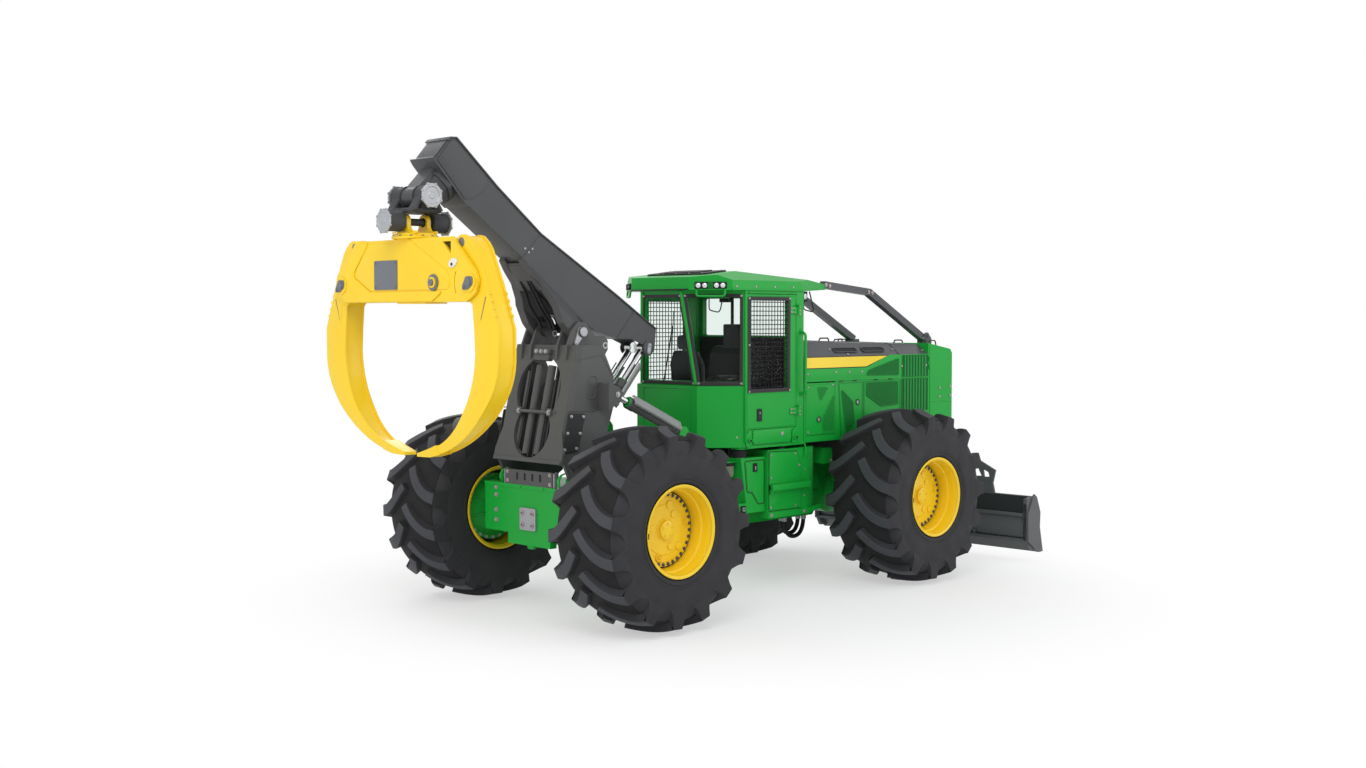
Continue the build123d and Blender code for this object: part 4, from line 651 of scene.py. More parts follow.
tong_outline = (arc((302, 1700), (877, 1915), (1250, 2268), 14) + arc((1250, 2268), (1340, 2450),
    (1365, 2650), 6)[1:] + [(1366, 2760), (1365, 2870), (1200, 3270), (1050, 3580), (1000, 3640),
    (935, 3690), (890, 3703), (852, 3705), (810, 3695), (785, 3665), (790, 3560), (880, 3330), (862, 3265),
    (870, 3200), (920, 3140), (1000, 3080), (1024, 2860)] + arc((1036, 2650), (800, 2060), (302, 1765), 16))
doubler_outline = rounded([(815, 3640), (852, 3688), (925, 3672), (1030, 3555), (1168, 3270), (1190, 3180),
    (1120, 2930), (1100, 2930), (1085, 3090), (1010, 3110), (905, 3215), (905, 3330), (815, 3560)], 22)
tip_outline = [(404, 1808), (302, 1774), (98, 1716), (104, 1686), (302, 1691), (452, 1724), (428, 1768)]


def narrow_tips(bm):
    """The tongs get thinner towards their tips."""
    for v in bm.verts:
        share = min(1, max(0, (2100 - v.co.z) / 380))
        v.co.x = GRAPPLE_X + (v.co.x - GRAPPLE_X) * (1 - 0.4 * share)


for side, s in (("right", -1), ("left", 1)):
    middle = cross_plane(GRAPPLE_X)
    bm = bmesh.new()
    plate(bm, sided(s, inset(tong_outline, 13)), middle, -82, 82)
    for out in (-1, 1):
        plate(bm, sided(s, tong_outline), middle, out * 80, out * 100)
        plate(bm, sided(s, doubler_outline), middle, out * 99, out * 102.5)
        # scallops in the outer edge
        for i in range(4):
            plate(bm, disc(15, (s * (1318 - 27 * i), 2985 + 65 * i), 12), middle, out * 80, out * 100)
    plate(bm, sided(s, tip_outline), middle, -112, 112)
    narrow_tips(bm)
    piece(f"tong_box_{side}", bm, yellow_enamel, f"grapple_tong_{side}",
        replaces=[f"tong_{side}"], bevel=3)
    bm = bmesh.new()
    for out in (-1, 1):
        lathe(bm, sided(out, [(100, 44), (103, 44), (104, 40), (104, 0.1), (100, 0.1)]),
            (GRAPPLE_X, s * 852, 3635), 28, axis="x")
    bars(bm, [[(GRAPPLE_X + out * 101, s * 1196, 3150), (GRAPPLE_X + out * 101, s * 1122, 2950)]
        for out in (-1, 1)], 5, 5, sides=4)
    piece(f"tong_pins_{side}", bm, pin_steel, f"grapple_tong_{side}", bevel=0)

# ------------ grapple head
# A box of thick yellow plates that carries the tongs and their rams. A raised frame and centre
# plate are welded on each face. It has a bare grey plate, greased pins with keepers, an oval port
# and a small opening at the top corner.
head_outline = rounded([(-960, 3110), (960, 3110), (1090, 3180), (1130, 3290), (1090, 3380), (760, 3690),
    (-760, 3690), (-1090, 3380), (-1130, 3290), (-1090, 3180)], [40, 40, 80, 80, 80, 30, 30, 80, 80, 80])
frame_outline = rounded([(600, 3697), (742, 3697), (1078, 3388), (1118, 3288), (1076, 3186), (952, 3116),
    (-452, 3116), (-588, 3190), (-588, 3206), (520, 3206), (800, 3350), (800, 3400), (560, 3660)],
    [25, 25, 70, 80, 80, 30, 25, 12, 12, 90, 60, 60, 40])
centre_outline = rounded([(570, 3660), (120, 3662), (70, 3702), (-75, 3702), (-690, 3385), (-735, 3290),
    (-690, 3222), (530, 3222), (786, 3355), (786, 3396)], [20, 10, 30, 60, 80, 70, 40, 80, 60, 60])
port_outline = [(y, 0.62 * x) for x, y in disc(62)]


def drafts(count):
    """Empty meshes, one for each of a piece's materials."""
    return [bmesh.new() for _ in range(count)]


def slot_round(centre, radius, start, end, wide):
    """A slot that follows an arc."""
    angles = [math.radians(start + (end - start) * i / 10) for i in range(11)]
    outer = [(centre[0] + radius * math.cos(a), centre[1] + radius * math.sin(a)) for a in angles]
    inner = [(centre[0] + (radius - wide) * math.cos(a), centre[1] + (radius - wide) * math.sin(a))
        for a in angles[::-1]]
    return outer + inner


bm, grey, dark, bright = drafts(4)
for face in (-1, 1):
    # the rear face is drawn as it stands, and the front face is the same turned round
    where = cross_plane(GRAPPLE_X) if face < 0 else plane((GRAPPLE_X, 0, 0), (0, -1, 0), (0, 0, 1))
    opening = [(-612, 3648), (-738, 3648), (-738, 3532)]
    holes = [opening, slot_round((-1008, 3280), 226, -26, 26, 11),
        slot_round((-1008, 3280), 110, 158, 205, 9)]
    plate(bm, head_outline, where, -136, -106, holes=holes)
    plate(bm, frame_outline, where, -150, -135)
    plate(bm, centre_outline, where, -142, -135)
    # painted shade: a dark sheet closes the opening, for the shade inside the head
    plate(dark, opening, where, -110, -107)
    # hinge pins and ram pins with their keepers
    for y, depth in ((1008, -151), (-1008, -137)):
        across = where @ Matrix.Translation((y, 3280, depth))
        plate(bm, disc(86), across, -9, 0)
        plate(grey, rounded([(-60, 50), (-60, -20), (10, -66), (84, -66), (84, -30), (34, 52)], 26), across,
            -18, -9)
        plate(grey, disc(38), across, -26, -18)
        bolts(grey, on(across, -18, ((58, -48),)), normal(across, -1), 22, 12)
    hub = where @ Matrix.Translation((-486, 3285, -142))
    plate(grey, disc(74), hub, -14, 0)
    plate(bm, disc(50), hub, -26, -14)
    plate(grey, disc(34, count=6), hub, -40, -26)
    # bare plate, port
    plate(grey, rounded(rect(80, 3228, 452, 3500), 10), where, -150, -142)
    bolts(grey, [where @ Vector((y, z, -150)) for y in (104, 428) for z in (3252, 3476)], normal(where, -1),
        16, 7, 12, 1.4)
    port = where @ plane((-775, 3455, -137), (0.94, -0.34, 0), (0.34, 0.94, 0))
    plate(bright, port_outline, port, -10, 0)
    # painted shade: a dark disc for the port's bore
    plate(dark, disc(15, (16, -8), 16), port, -12, -10)
    bars(bm, [on(where, -138, ((-1100, 3180), (-1128, 3290), (-1094, 3380), (-770, 3682)))], 10, bend=20)
    bars(bm, [on(where, -148, frame_outline[30:44])], 8)
# top, bottom, a strip under it and two walls between the faces
for half, *sizes in ((107, -560, 560, 3660, 3690), (107, -780, 780, 3110, 3140),
        (120, -330, 120, 3096, 3111), (107, -308, -292, 3140, 3660), (107, 292, 308, 3140, 3660)):
    box(bm, GRAPPLE_X - half, GRAPPLE_X + half, *sizes)
lathe(bm, rect(3655, 106, 3696, 135), (GRAPPLE_X, 0, 0), 40, axis="z")
piece("grapple_head_box", bm, yellow_enamel, "grapple", replaces=["grapple_head"], bevel=3)
piece("grapple_head_pins", grey, pin_steel, "grapple", bevel=2)
piece("grapple_head_opening_shade", dark, opening_shade, "grapple")
port_steel = finish("port_steel", ((236, 236, 232), (214, 214, 210)), (0.25, 0.4), metal=0.3)
piece("grapple_head_port", bright, port_steel, "grapple", bevel=2)

# ------------ grapple hanger
# A stepped yellow flange turns on top of the head. Four waisted lugs stand on it, and the
# crosshead's lower pin goes through them.
SWING_Z = 3851                 # the crosshead's lower pin
bm, grey = drafts(2)
lathe(bm, [(3692, 100), (3692, 205), (3700, 216), (3716, 216), (3722, 206), (3722, 196), (3742, 196),
    (3748, 188), (3748, 100)], (GRAPPLE_X, 0, 0), 48, axis="z")
lathe(bm, [(3600, 70), (3600, 98), (3745, 98), (3745, 70)], (GRAPPLE_X, 0, 0), 32, axis="z")
lug_outline = ([(-168, 3716), (168, 3716), (160, 3752)] + arc((160, 3752), (88, 3778), (62, 3838),
    6)[1:] + arc((66, 3862), (0, 3924), (-66, 3862), 10) + arc((-62, 3838), (-88, 3778), (-160, 3752),
    6)[:-1] + [(-160, 3752)])
for out in (-1, 1):
    plate(bm, lug_outline, cross_plane(GRAPPLE_X), out * 88, out * 132, holes=[disc(43, (0, SWING_Z), 24)])
    plate(bm, rounded(rect(-190, 3742, 190, 3764), 8), cross_plane(GRAPPLE_X), out * 96, out * 124)
    bolts(grey, [(GRAPPLE_X + out * 132, 0, 3905)], (out, 0, 0), 22, 12)
    lathe(grey, rect(out * 132, 44, out * 139, 64), (GRAPPLE_X, 0, SWING_Z), 32, axis="x")
bolts(grey, [(x, y, 3719) for x, y in disc(206, (GRAPPLE_X, 0), 12, 0.26)], (0, 0, 1), 16, 9)
piece("hanger_flange", bm, yellow_enamel, "hanger", replaces=["grapple_hanger"], bevel=3)
piece("hanger_bolts", grey, pin_steel, "hanger")

# ------------ crosshead
# A dark cast yoke between the boom's tip and the grapple: two crossed bosses joined by ribbed
# arms. Pale round caps with eight bolts close the ends of its pins.
cast_iron = finish("cast_iron", ((72, 73, 75), (60, 61, 63)), (0.5, 0.68), bump=0.5, grain=90, depth=0.003)
cap_steel = finish("cap_steel", ((176, 178, 182), (146, 148, 152)), (0.32, 0.5), metal=0.4)
TIP_Z = 4086                   # the boom tip's pin


def cast(name, bm, voxel, rounds=3):
    """Melts closed solids into one cast body with soft corners."""
    mesh = mesh_of(name, bm)
    source = put(name, mesh)
    melt = source.modifiers.new("melt", "REMESH")
    melt.mode = "VOXEL"
    melt.voxel_size = voxel
    soft = source.modifiers.new("soft", "SMOOTH")
    soft.iterations = rounds
    soft.factor = 0.5
    return settled(source)


bm = bmesh.new()
along = plane((GRAPPLE_X, 0, 0), (1, 0, 0), (0, 0, 1))
for out in (-1, 1):
    lathe(bm, pin(out * 112, 96, out * 262, 96), (GRAPPLE_X, 0, TIP_Z), 32)
    lathe(bm, sided(out, [(158, 0.1), (158, 94), (333, 94), (343, 0.1)]), (GRAPPLE_X, 0, SWING_Z), 32,
        axis="x")
    # arms down from the upper bosses and out to the lower ones, with a hollow between ribs
    for rib in (-66, 66):
        plate(bm, [(rib - 22, TIP_Z), (rib + 22, TIP_Z), (rib * 2.2 + 22, 3950), (rib * 2.2 - 22, 3950)],
            side_plane(0), -out * 118, -out * 225)
    plate(bm, [(out * 118, TIP_Z), (out * 150, TIP_Z), (out * 200, 3945), (out * 118, 3945)],
        cross_plane(GRAPPLE_X), -58, 58)
    for top, low, start, end in ((3980, 3900, -78, -48), (3980, 3900, 48, 78), (3962, 3892, -60, 60)):
        plate(bm, sided(out, [(60, top), (335, low), (335, SWING_Z), (165, SWING_Z), (165, 3925),
            (60, 3935)]), along, start, end)
for v in bm.verts:
    if abs(v.co.x) < 400:
        v.co.x += GRAPPLE_X
plate(bm, rounded(rect(-190, -190, 190, 190), 60), Matrix.Translation((GRAPPLE_X, 0, 0)), 3934, 3972)
shape = cast("yoke", bm, 9.0)
bm = bmesh.new()
bm.from_mesh(shape)
lathe(bm, pin(-120, 34, 120, 34), (GRAPPLE_X, 0, TIP_Z), 24)
lathe(bm, pin(-170, 34, 170, 34), (GRAPPLE_X, 0, SWING_Z), 24, axis="x")
piece("crosshead_yoke", bm, cast_iron, "swing_head", replaces=["crosshead"], smooth=50)
bm = bmesh.new()
for axis, centre, reach in (("y", (GRAPPLE_X, 0, TIP_Z), 262), ("x", (GRAPPLE_X, 0, SWING_Z), 333)):
    for out in (-1, 1):
        lathe(bm, [(out * reach, 0.1), (out * reach, 108), (out * (reach + 4), 112),
            (out * (reach + 12), 112), (out * (reach + 16), 107), (out * (reach + 16), 82),
            (out * (reach + 10), 76), (out * (reach + 10), 34), (out * (reach + 15), 28),
            (out * (reach + 15), 0.1)], centre, 40, axis=axis)
        way = Vector((out, 0, 0)) if axis == "x" else Vector((0, out, 0))
        other = Vector((0, 1, 0)) if axis == "x" else Vector((1, 0, 0))
        ring_spots = []
        for i in range(8):
            a = 2 * math.pi * (i + 0.5) / 8
            spot = (Vector(centre) + way * (reach + 1) + other * 106 * math.cos(a) +
                Vector((0, 0, 106 * math.sin(a))))
            lathe(bm, pin(0, 16, out * 14, 16), spot, 12, axis=axis)
            ring_spots.append(spot + way * 13)
        bolts(bm, ring_spots, tuple(way), 14, 7, washer=1.2)
piece("crosshead_caps", bm, cap_steel, "swing_head", smooth=35)

# ------------ rims
# Steel rims in yellow enamel, rolled with round flanges and a stepped barrel. The axle's hub fills
# the middle: a ring of bolts round its edge, three plugs, a few bosses and a bolted cap.
bolt_steel = finish("bolt_steel", ((92, 98, 116), (74, 79, 95)), (0.35, 0.5), metal=0.3)
HUB_BOLTS = 33
rim_profile = [(232, 0), (232, 80), (228, 88), (204, 92), (199, 98), (199, 106), (193, 112), (193, 236),
    (188, 244), (188, 306), (184, 312), (184, 348), (180, 352), (166, 353), (166, 366), (186, 371),
    (258, 374), (290, 381), (302, 395), (330, 398), (400, 403), (410, 410), (419, 420), (424, 429),
    (425, 435), (423, 441), (418, 444), (413, 442), (410, 435), (410, 407), (-410, 407), (-410, 435),
    (-413, 442), (-418, 444), (-423, 441), (-425, 435), (-424, 429), (-414, 412), (-396, 398), (150, 392),
    (166, 380), (168, 290), (30, 290), (30, 0)]
for wheel_end in ("front", "rear"):
    for side, s in (("right", -1), ("left", 1)):
        wheel = f"wheel_{wheel_end}_{side}"
        low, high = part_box(f"tyre_{wheel_end}_{side}")
        middle = (low + high) / 2
        hub = Vector((1000 * (middle.x - pin_x), 1000 * middle.y, 1000 * middle.z))
        face = plane(hub, (-s, 0, 0), (0, 0, 1))
        bm, dark, grey = drafts(3)
        lathe(bm, rim_profile, hub, 112, axis=(0, s, 0), close=False)

        def at(radius, degrees, depth=0):
            a = math.radians(degrees)
            return face @ Vector((radius * math.cos(a), radius * math.sin(a), depth))

        for i in range(3):
            # a threaded plug in a raised ring
            lathe(bm, [(206, 0), (206, 13), (200, 17), (193, 17), (193, 26), (204, 29), (204, 38), (186, 46),
                (150, 46), (150, 0)], at(268, 12 + 120 * i), 24, axis=(0, s, 0), close=False)
            bolts(bm, [at(268, 12 + 120 * i, 205)], (0, s, 0), 20, 7, washer=1)
            # bosses and a six-sided pad
            spot = face.inverted() @ at(176, 52 + 120 * i)
            plate(bm, disc(34, (spot.x, spot.y), 20), face, 188, 203)
            spot = face.inverted() @ at(238, 76 + 120 * i)
            plate(bm, disc(42, (spot.x, spot.y), 6), face, 184, 202)
        bolts(bm, [at(62, 18 + 72 * i, 231) for i in range(5)], (0, s, 0), 15, 9, washer=1.5)
        # painted shade: a dark ring on the floor of the groove round the hub's edge
        lathe(dark, [(171, 353.5), (171, 366), (164, 366), (164, 353.5)], hub, 96, axis=(0, s, 0))
        bolts(grey, [at(332, 360 * (i + 0.5) / HUB_BOLTS, 184) for i in range(HUB_BOLTS)], (0, s, 0), 26, 16,
            washer=1.35)
        plate(dark, rect(-438, -26, -427, 26), face, 418, 426)
        piece(f"rim_{wheel_end}_{side}_rolled", bm, yellow_enamel, wheel,
            replaces=[f"rim_{wheel_end}_{side}"], smooth=32)
        piece(f"rim_{wheel_end}_{side}_bolts", grey, bolt_steel, wheel)
        # this piece holds the dark ring of painted shade as well as the seam
        piece(f"rim_{wheel_end}_{side}_seams", dark, tyre_rubber, wheel)

# ------------ boom
# A welded box of dark grey plate that bends over the arch. Its top and bottom plates stand out
# past its sides, doublers strengthen its head, and cover plates close its legs.
def ribbon(path, thick):
    """The outline of a strip that lies along a path, on its left."""
    made = []
    for i, point in enumerate(path):
        here = Vector(point)
        a = (here - Vector(path[i - 1])).normalized() if i else None
        b = (Vector(path[i + 1]) - here).normalized() if i + 1 < len(path) else None
        a, b = a or b, b or a
        mid = Vector((-a.y - b.y, a.x + b.x))
        made.append(tuple(here + mid * (thick / mid.dot(Vector((-a.y, a.x))))))
    return list(path) + made[::-1]


BOOM_HALF = 170
boom_top = [(-3468, 4612), (-3445, 4637), (-3380, 4640), (-2903, 4212), (-2368, 3784), (-1385, 3206),
    (-806, 2845)]
boom_belly = [(-3638, 4452), (-3606, 4402), (-3285, 4055), (-3246, 4026)]
bm, dark, grey = drafts(3)
plate(bm, ribbon(boom_top, 13), side_plane(0), -BOOM_HALF - 15, BOOM_HALF + 15)
plate(bm, ribbon(boom_belly, -14), side_plane(0), -BOOM_HALF - 17, BOOM_HALF + 17)
plate(bm, ribbon([(-3240, 4022), (-2590, 3550)], -3), side_plane(0), -BOOM_HALF - 6, BOOM_HALF + 6)
plate(bm, ribbon([(-1680, 2858), (-1352, 2758), (-1153, 2756)], -10), side_plane(0), -BOOM_HALF - 8,
    BOOM_HALF + 8)
# the head's rear face
face = plane((-3610, 0, 4440), (0, 1, 0), (165, 0, 197))
plate(bm, rounded(rect(-152, 14, 152, 240), 26), face, -8, 2)
for out in (-1, 1):
    skin = side_plane(out * BOOM_HALF)
    plate(bm, rounded([(-3596, 4428), (-3440, 4618), (-3392, 4618), (-2960, 4244), (-3180, 4092),
        (-3282, 4078)], [10, 20, 20, 210, 130, 20]), skin, 0, -out * 6)
    bars(bm, [at_y(out * (BOOM_HALF + 1), ((-1118, 3032), (-1352, 2768))),
        at_y(out * (BOOM_HALF + 1), ((-2380, 3774), (-2586, 3562)))], 12, 6)
    # boss and cheek where the lift cylinders pull
    plate(bm, disc(74, (-914, 2653), 32), skin, 0, -out * 14)
    plate(grey, rounded([(-930, 2700), (-880, 2700), (-898, 2590), (-948, 2590)], 24), skin, -out * 14,
        -out * 24)
    bolts(grey, at_y(out * (BOOM_HALF + 24), ((-909, 2676), (-921, 2614))), (0, out, 0), 24, 12)
    # small bolts on the leg and along the belly
    bolts(grey, at_y(out * (BOOM_HALF + 1), ((-2560, 3640), (-2515, 3605), (-2470, 3640))), (0, out, 0), 14,
        7)
# eight-sided collar where the neck leaves the head
neck_way = Vector((-0.78, 0, -0.626))
neck = Vector((-3490, 0, 4196))
lathe(bm, [(-40, 0.1), (-40, 190), (14, 190), (14, 168), (86, 150), (86, 0.1)], neck, 8, axis=neck_way)
for out in (-1, 1):
    lathe(bm, sided(out, [(98, 60), (98, 104), (106, 104), (106, 60)]), (GRAPPLE_X, 0, TIP_Z), 36)
# ribbed leg cover with its bolts, and hard lines that run down to the arch
cover = plane((-2565, 0, 3500), (0, 1, 0), (0.608, 0, -0.794))
plate(bm, rounded([(-118, 24), (118, 24), (176, 300), (-176, 300)], 30), cover, -10, 2)
plate(dark, disc(46, (0, 100), 24), cover, -13, -9)
bolts(grey, on(cover, -10, ((-92, 60), (92, 60), (-60, 150), (60, 150), (-110, 210), (0, 190), (110, 210),
    (-140, 270), (-40, 262), (40, 262), (140, 270))), normal(cover, -1), 20, 10)
bars(dark, [[(-2430, y, 3330), (-2380, y, 3240), (-2300, y * 1.3, 3080), (-2190, y * 1.3, 2940),
    (-2150, y * 1.3, 2860)] for y in (-96, -52, 60)], 30, bend=70, sides=10)
boom_paint = finish("boom_enamel", ((76, 77, 79), (70, 71, 73)), (0.36, 0.48), bump=0.08, coat=0.1)
rubber_hose = finish("rubber_hose", ((30, 30, 32), (22, 22, 24)), (0.45, 0.6), bump=0.2)
piece("boom_plates", bm, boom_paint, "log_boom", bevel=3)
piece("boom_hoses", dark, rubber_hose, "log_boom")
piece("boom_bolts", grey, cap_steel, "log_boom", bevel=2)


def painted(material, *names):
    """Gives the frame's own pieces a finish."""
    for name in names:
        shown = frame["nodes"][name].data
        shown.materials.clear()
        shown.materials.append(material)


painted(boom_paint, "boom")

# ------------ arch
# The rope arch: a dark grey steel box whose rear plate has a figure-eight opening for the logs'
# chokers, with guide rollers, guard slats and a sheave behind it.
rear_face = plane((-2420, 0, 1540), (0, 1, 0), (265, 0, 1160))
RISE = 1160 / math.hypot(265, 1160)
bm, dark, grey, slats = drafts(4)


def on_face(y, z, depth=0):
    """A spot over the sloping rear plate; negative depths stand out behind it."""
    return rear_face @ Vector((y, (z - 1540) / RISE, depth))


# block with three bolts over the opening, and its lip
block_base = (2540 - 1540) / RISE
plate(bm, rounded([(-118, block_base + 62), (118, block_base + 62), (130, block_base + 112),
    (-130, block_base + 112)], 16), rear_face, -46, 2)
plate(bm, rounded(rect(-112, block_base, 112, block_base + 70), 24), rear_face, -34, 26)
bolts(grey, [on_face(y, 2540 + 86 * RISE, -46) for y in (-72, 0, 72)], normal(rear_face, -1), 38, 18, 16,
    1.2)
# tie rod bolts, lower lip, welded rim of the rear plate
bars(bm, [[on_face(y, 1560, -6) for y in (-520, 520)]], 34, 14, sides=4, out=tuple(rear_face.col[2][:3]))
for y in (-235, 235):
    plate(bm, rounded(rect(y - 34, 470, y + 34, 545), 12), rear_face, -18, 4)
bolts(grey, [on_face(y, 2035, -18) for y in (-235, 235)], normal(rear_face, -1), 30, 16)
bars(bm, [[on_face(y, 2035, -8) for y in (-270, 270)]], 34, sides=12)
# guard slats behind the opening, rollers' end caps, sheave
slat_runs = [(y, 1600, 2040) for y in (-200, -120, -40, 40, 120, 200)]
slat_runs += [(y, 2060, 2530) for y in (-310, -200, 200, 310)]
bars(slats, [[on_face(y, z0, 70), on_face(y, z1, 70)] for y, z0, z1 in slat_runs], 12, 64, sides=4,
    out=tuple(rear_face.col[2][:3]))
bars(slats, [[on_face(y, z0, 36), on_face(y, z1, 36)] for y, z0, z1 in slat_runs], 24, 10, sides=4,
    out=tuple(rear_face.col[2][:3]))
lathe(slats, [(-46, 0.1), (-46, 150), (-34, 158), (-20, 128), (20, 128), (34, 158), (46, 150), (46, 0.1)],
    (-2060, 0, 2190), 40)
for out in (-1, 1):
    skin = side_plane(out * 500)
    # pressed oval, bolted cover
    oval = rounded([(-2064, 2170), (-1950, 2170), (-1920, 2395), (-2034, 2395)], 56, 8)
    bars(bm, [at_y(out * 501, oval)], 12, 7, sides=6, close=True)
    plate(dark, rounded([(-2300, 2040), (-2086, 2030), (-2180, 1660), (-2386, 1650)], 26), skin, 0,
        -out * 12)
    bolts(grey, at_y(out * 512, ((-2270, 2006), (-2116, 1998), (-2318, 1844), (-2160, 1836), (-2356, 1684),
        (-2206, 1690))), (0, out, 0), 26, 13, 16, 1.3)
    bars(bm, [at_y(out * 501, ((-2160, 2560), (-1860, 2600), (-1720, 2390))),
        at_y(out * 501, ((-2300, 2060), (-1960, 2050), (-1730, 2110)))], 10, 6)
    # the boom pin's keeper on the outer ear, and the ear's own eye
    ear = side_plane(out * 362)
    plate(grey, rounded([(-2044, 2876), (-1962, 2884), (-1984, 2800), (-2066, 2690), (-2110, 2700)], 40),
        ear, 0, -out * 12, holes=[disc(52, (-2000, 2828), 24)])
    bolts(grey, [(-2084, out * 374, 2716)], (0, out, 0), 26, 14)
    lathe(grey, pin(out * 392, 50, out * 400, 44), (-2000, 0, 2828), 28)
    for y0 in (350, 204):
        lathe(grey, [(out * (y0 - 16), 20), (out * (y0 - 16), 34), (out * (y0 + 16), 34),
            (out * (y0 + 16), 20)], (-1690, 0, 2690) if y0 == 350 else (-1886, 0, 2810), 24)
    # bosses round the cylinders' eyes, hinge pins at the foot
    for made, y0, y1, r in ((bm, 524, 532, 92), (grey, 532, 544, 52)):
        lathe(made, pin(out * y0, r, out * y1, r - 4), (-2200, 0, 1330), 32)
    bars(bm, [at_y(out * 524, ((-2396, 1604), (-1904, 1604)))], 8)
arch_paint = finish("arch_enamel", ((84, 86, 85), (78, 79, 79)), (0.4, 0.52), bump=0.1, coat=0.12)
dark_enamel_and_shade = finish("dark_enamel_and_shade", ((50, 51, 53), (43, 44, 46)), (0.45, 0.6), bump=0.15)
piece("arch_fittings", bm, arch_paint, "log_arch", bevel=3)
piece("arch_covers", dark, dark_enamel_and_shade, "log_arch", bevel=3)
piece("arch_slats", slats, dark_enamel_and_shade, "log_arch")
piece("arch_bolts", grey, cap_steel, "log_arch", bevel=2)
painted(arch_paint, "arch")

# ------------ cylinders
# Hydraulic cylinders: painted barrels with a green gland ring, bright rods, forged eyes with bolts
# through them, and pale guard strips over the pairs that work in the open.
green_enamel = finish("green_enamel", ((24, 168, 60), (18, 158, 53)), (0.32, 0.45), coat=0.06)
bright_steel = finish("bright_steel", ((205, 206, 208), (180, 181, 184)), (0.12, 0.22), metal=0.95,
    bump=0.03)
guard_steel = finish("guard_steel", ((158, 160, 160), (140, 142, 142)), (0.4, 0.55), metal=0.1)
for name, body, foot, eye, y, barrel_end, r, guard in (
    ("arch", "arch_barrels", (-850, 1780), (-1780, 2210), 585, 820, 58, (70, 800)),
    ("boom", "boom_barrels", (-1790, 1640), (-914, 2653), 95, 884, 62, (600, 1140)),
):
    length = math.dist(foot, eye)
    way = Vector(((eye[0] - foot[0]) / length, 0, (eye[1] - foot[1]) / length))
    up = Vector((way.z, 0, -way.x))
    bm, grey, green, strip, strip_grey = drafts(5)
    for out in (-1, 1):
        base = Vector((foot[0], out * y, foot[1]))
        lathe(bm, [(90, r), (90, r + 7), (112, r + 7), (118, r)], base, 36, axis=way)
        lathe(bm, [(barrel_end - 96, r), (barrel_end - 92, r + 6), (barrel_end - 6, r + 6),
            (barrel_end - 1, r), (barrel_end - 1, r - 16), (barrel_end - 20, r - 16)], base, 36, axis=way)
        lathe(green, [(barrel_end - 1, 40), (barrel_end - 1, 54), (barrel_end + 12, 52),
            (barrel_end + 12, 40)], base, 32, axis=way)
        # oil pipe along the barrel
        side_way = Vector((0, out, 0))
        pipe = [base + way * t + up * (r + 12) * 0.6 + side_way * (r + 12) * 0.8 * (1 if name == "arch"
            else -1) for t in (150, barrel_end - 110)]
        bars(grey, [pipe], 18)
        # a pale guard strip leans over the barrel, or over the rod where that works in the open
        facing = (up * 0.62 + side_way * 0.78).normalized()
        t0, t1 = guard
        strip_plane = plane(base + facing * (r + 20), way, facing.cross(way))
        plate(strip, rounded(rect(t0, -52, t1, 52), 10), strip_plane, -4, 4)
        for edge_y in (-52, 52):
            plate(strip, rect(t0 + 6, edge_y - 4, t1 - 6, edge_y + 4), strip_plane, -22, 0)
        bolts(strip_grey, on(strip_plane, 4, [(t, v) for t in (t0 + 40, t1 - 40) for v in (-28, 28)]),
            facing, 18, 8)
    piece(f"{name}_cylinder_bands", bm, arch_paint, body)
    piece(f"{name}_cylinder_pipes", grey, cap_steel, body)
    piece(f"{name}_cylinder_rings", green, green_enamel, body)
    guard_body = "boom_rods" if name == "boom" else body
    piece(f"{name}_cylinder_guards", strip, guard_steel, guard_body, bevel=2)
    piece(f"{name}_cylinder_guard_bolts", strip_grey, cap_steel, guard_body)
# eye bolts on the arch cylinders' rods
grey = bmesh.new()
for out in (-1, 1):
    lathe(grey, pin(out * 638, 44, out * 648, 40), (-1780, 0, 2210), 28)
    bolts(grey, [(-1780, out * 648, 2210)], (0, out, 0), 34, 16)
piece("arch_eye_bolts", grey, cap_steel, "log_arch")
painted(arch_paint, "arch_cylinder_barrels", "boom_cylinder_barrels", "blade_cylinder_barrels",
    *(f"{kind}_{side}" for kind in ("steering_barrel", "tong_ram_barrel") for side in ("right", "left")))
painted(bright_steel, "arch_cylinder_rods", "boom_cylinder_rods", "blade_cylinder_rods",
    *(f"{kind}_{side}" for kind in ("steering_rod", "tong_ram_rod") for side in ("right", "left")))

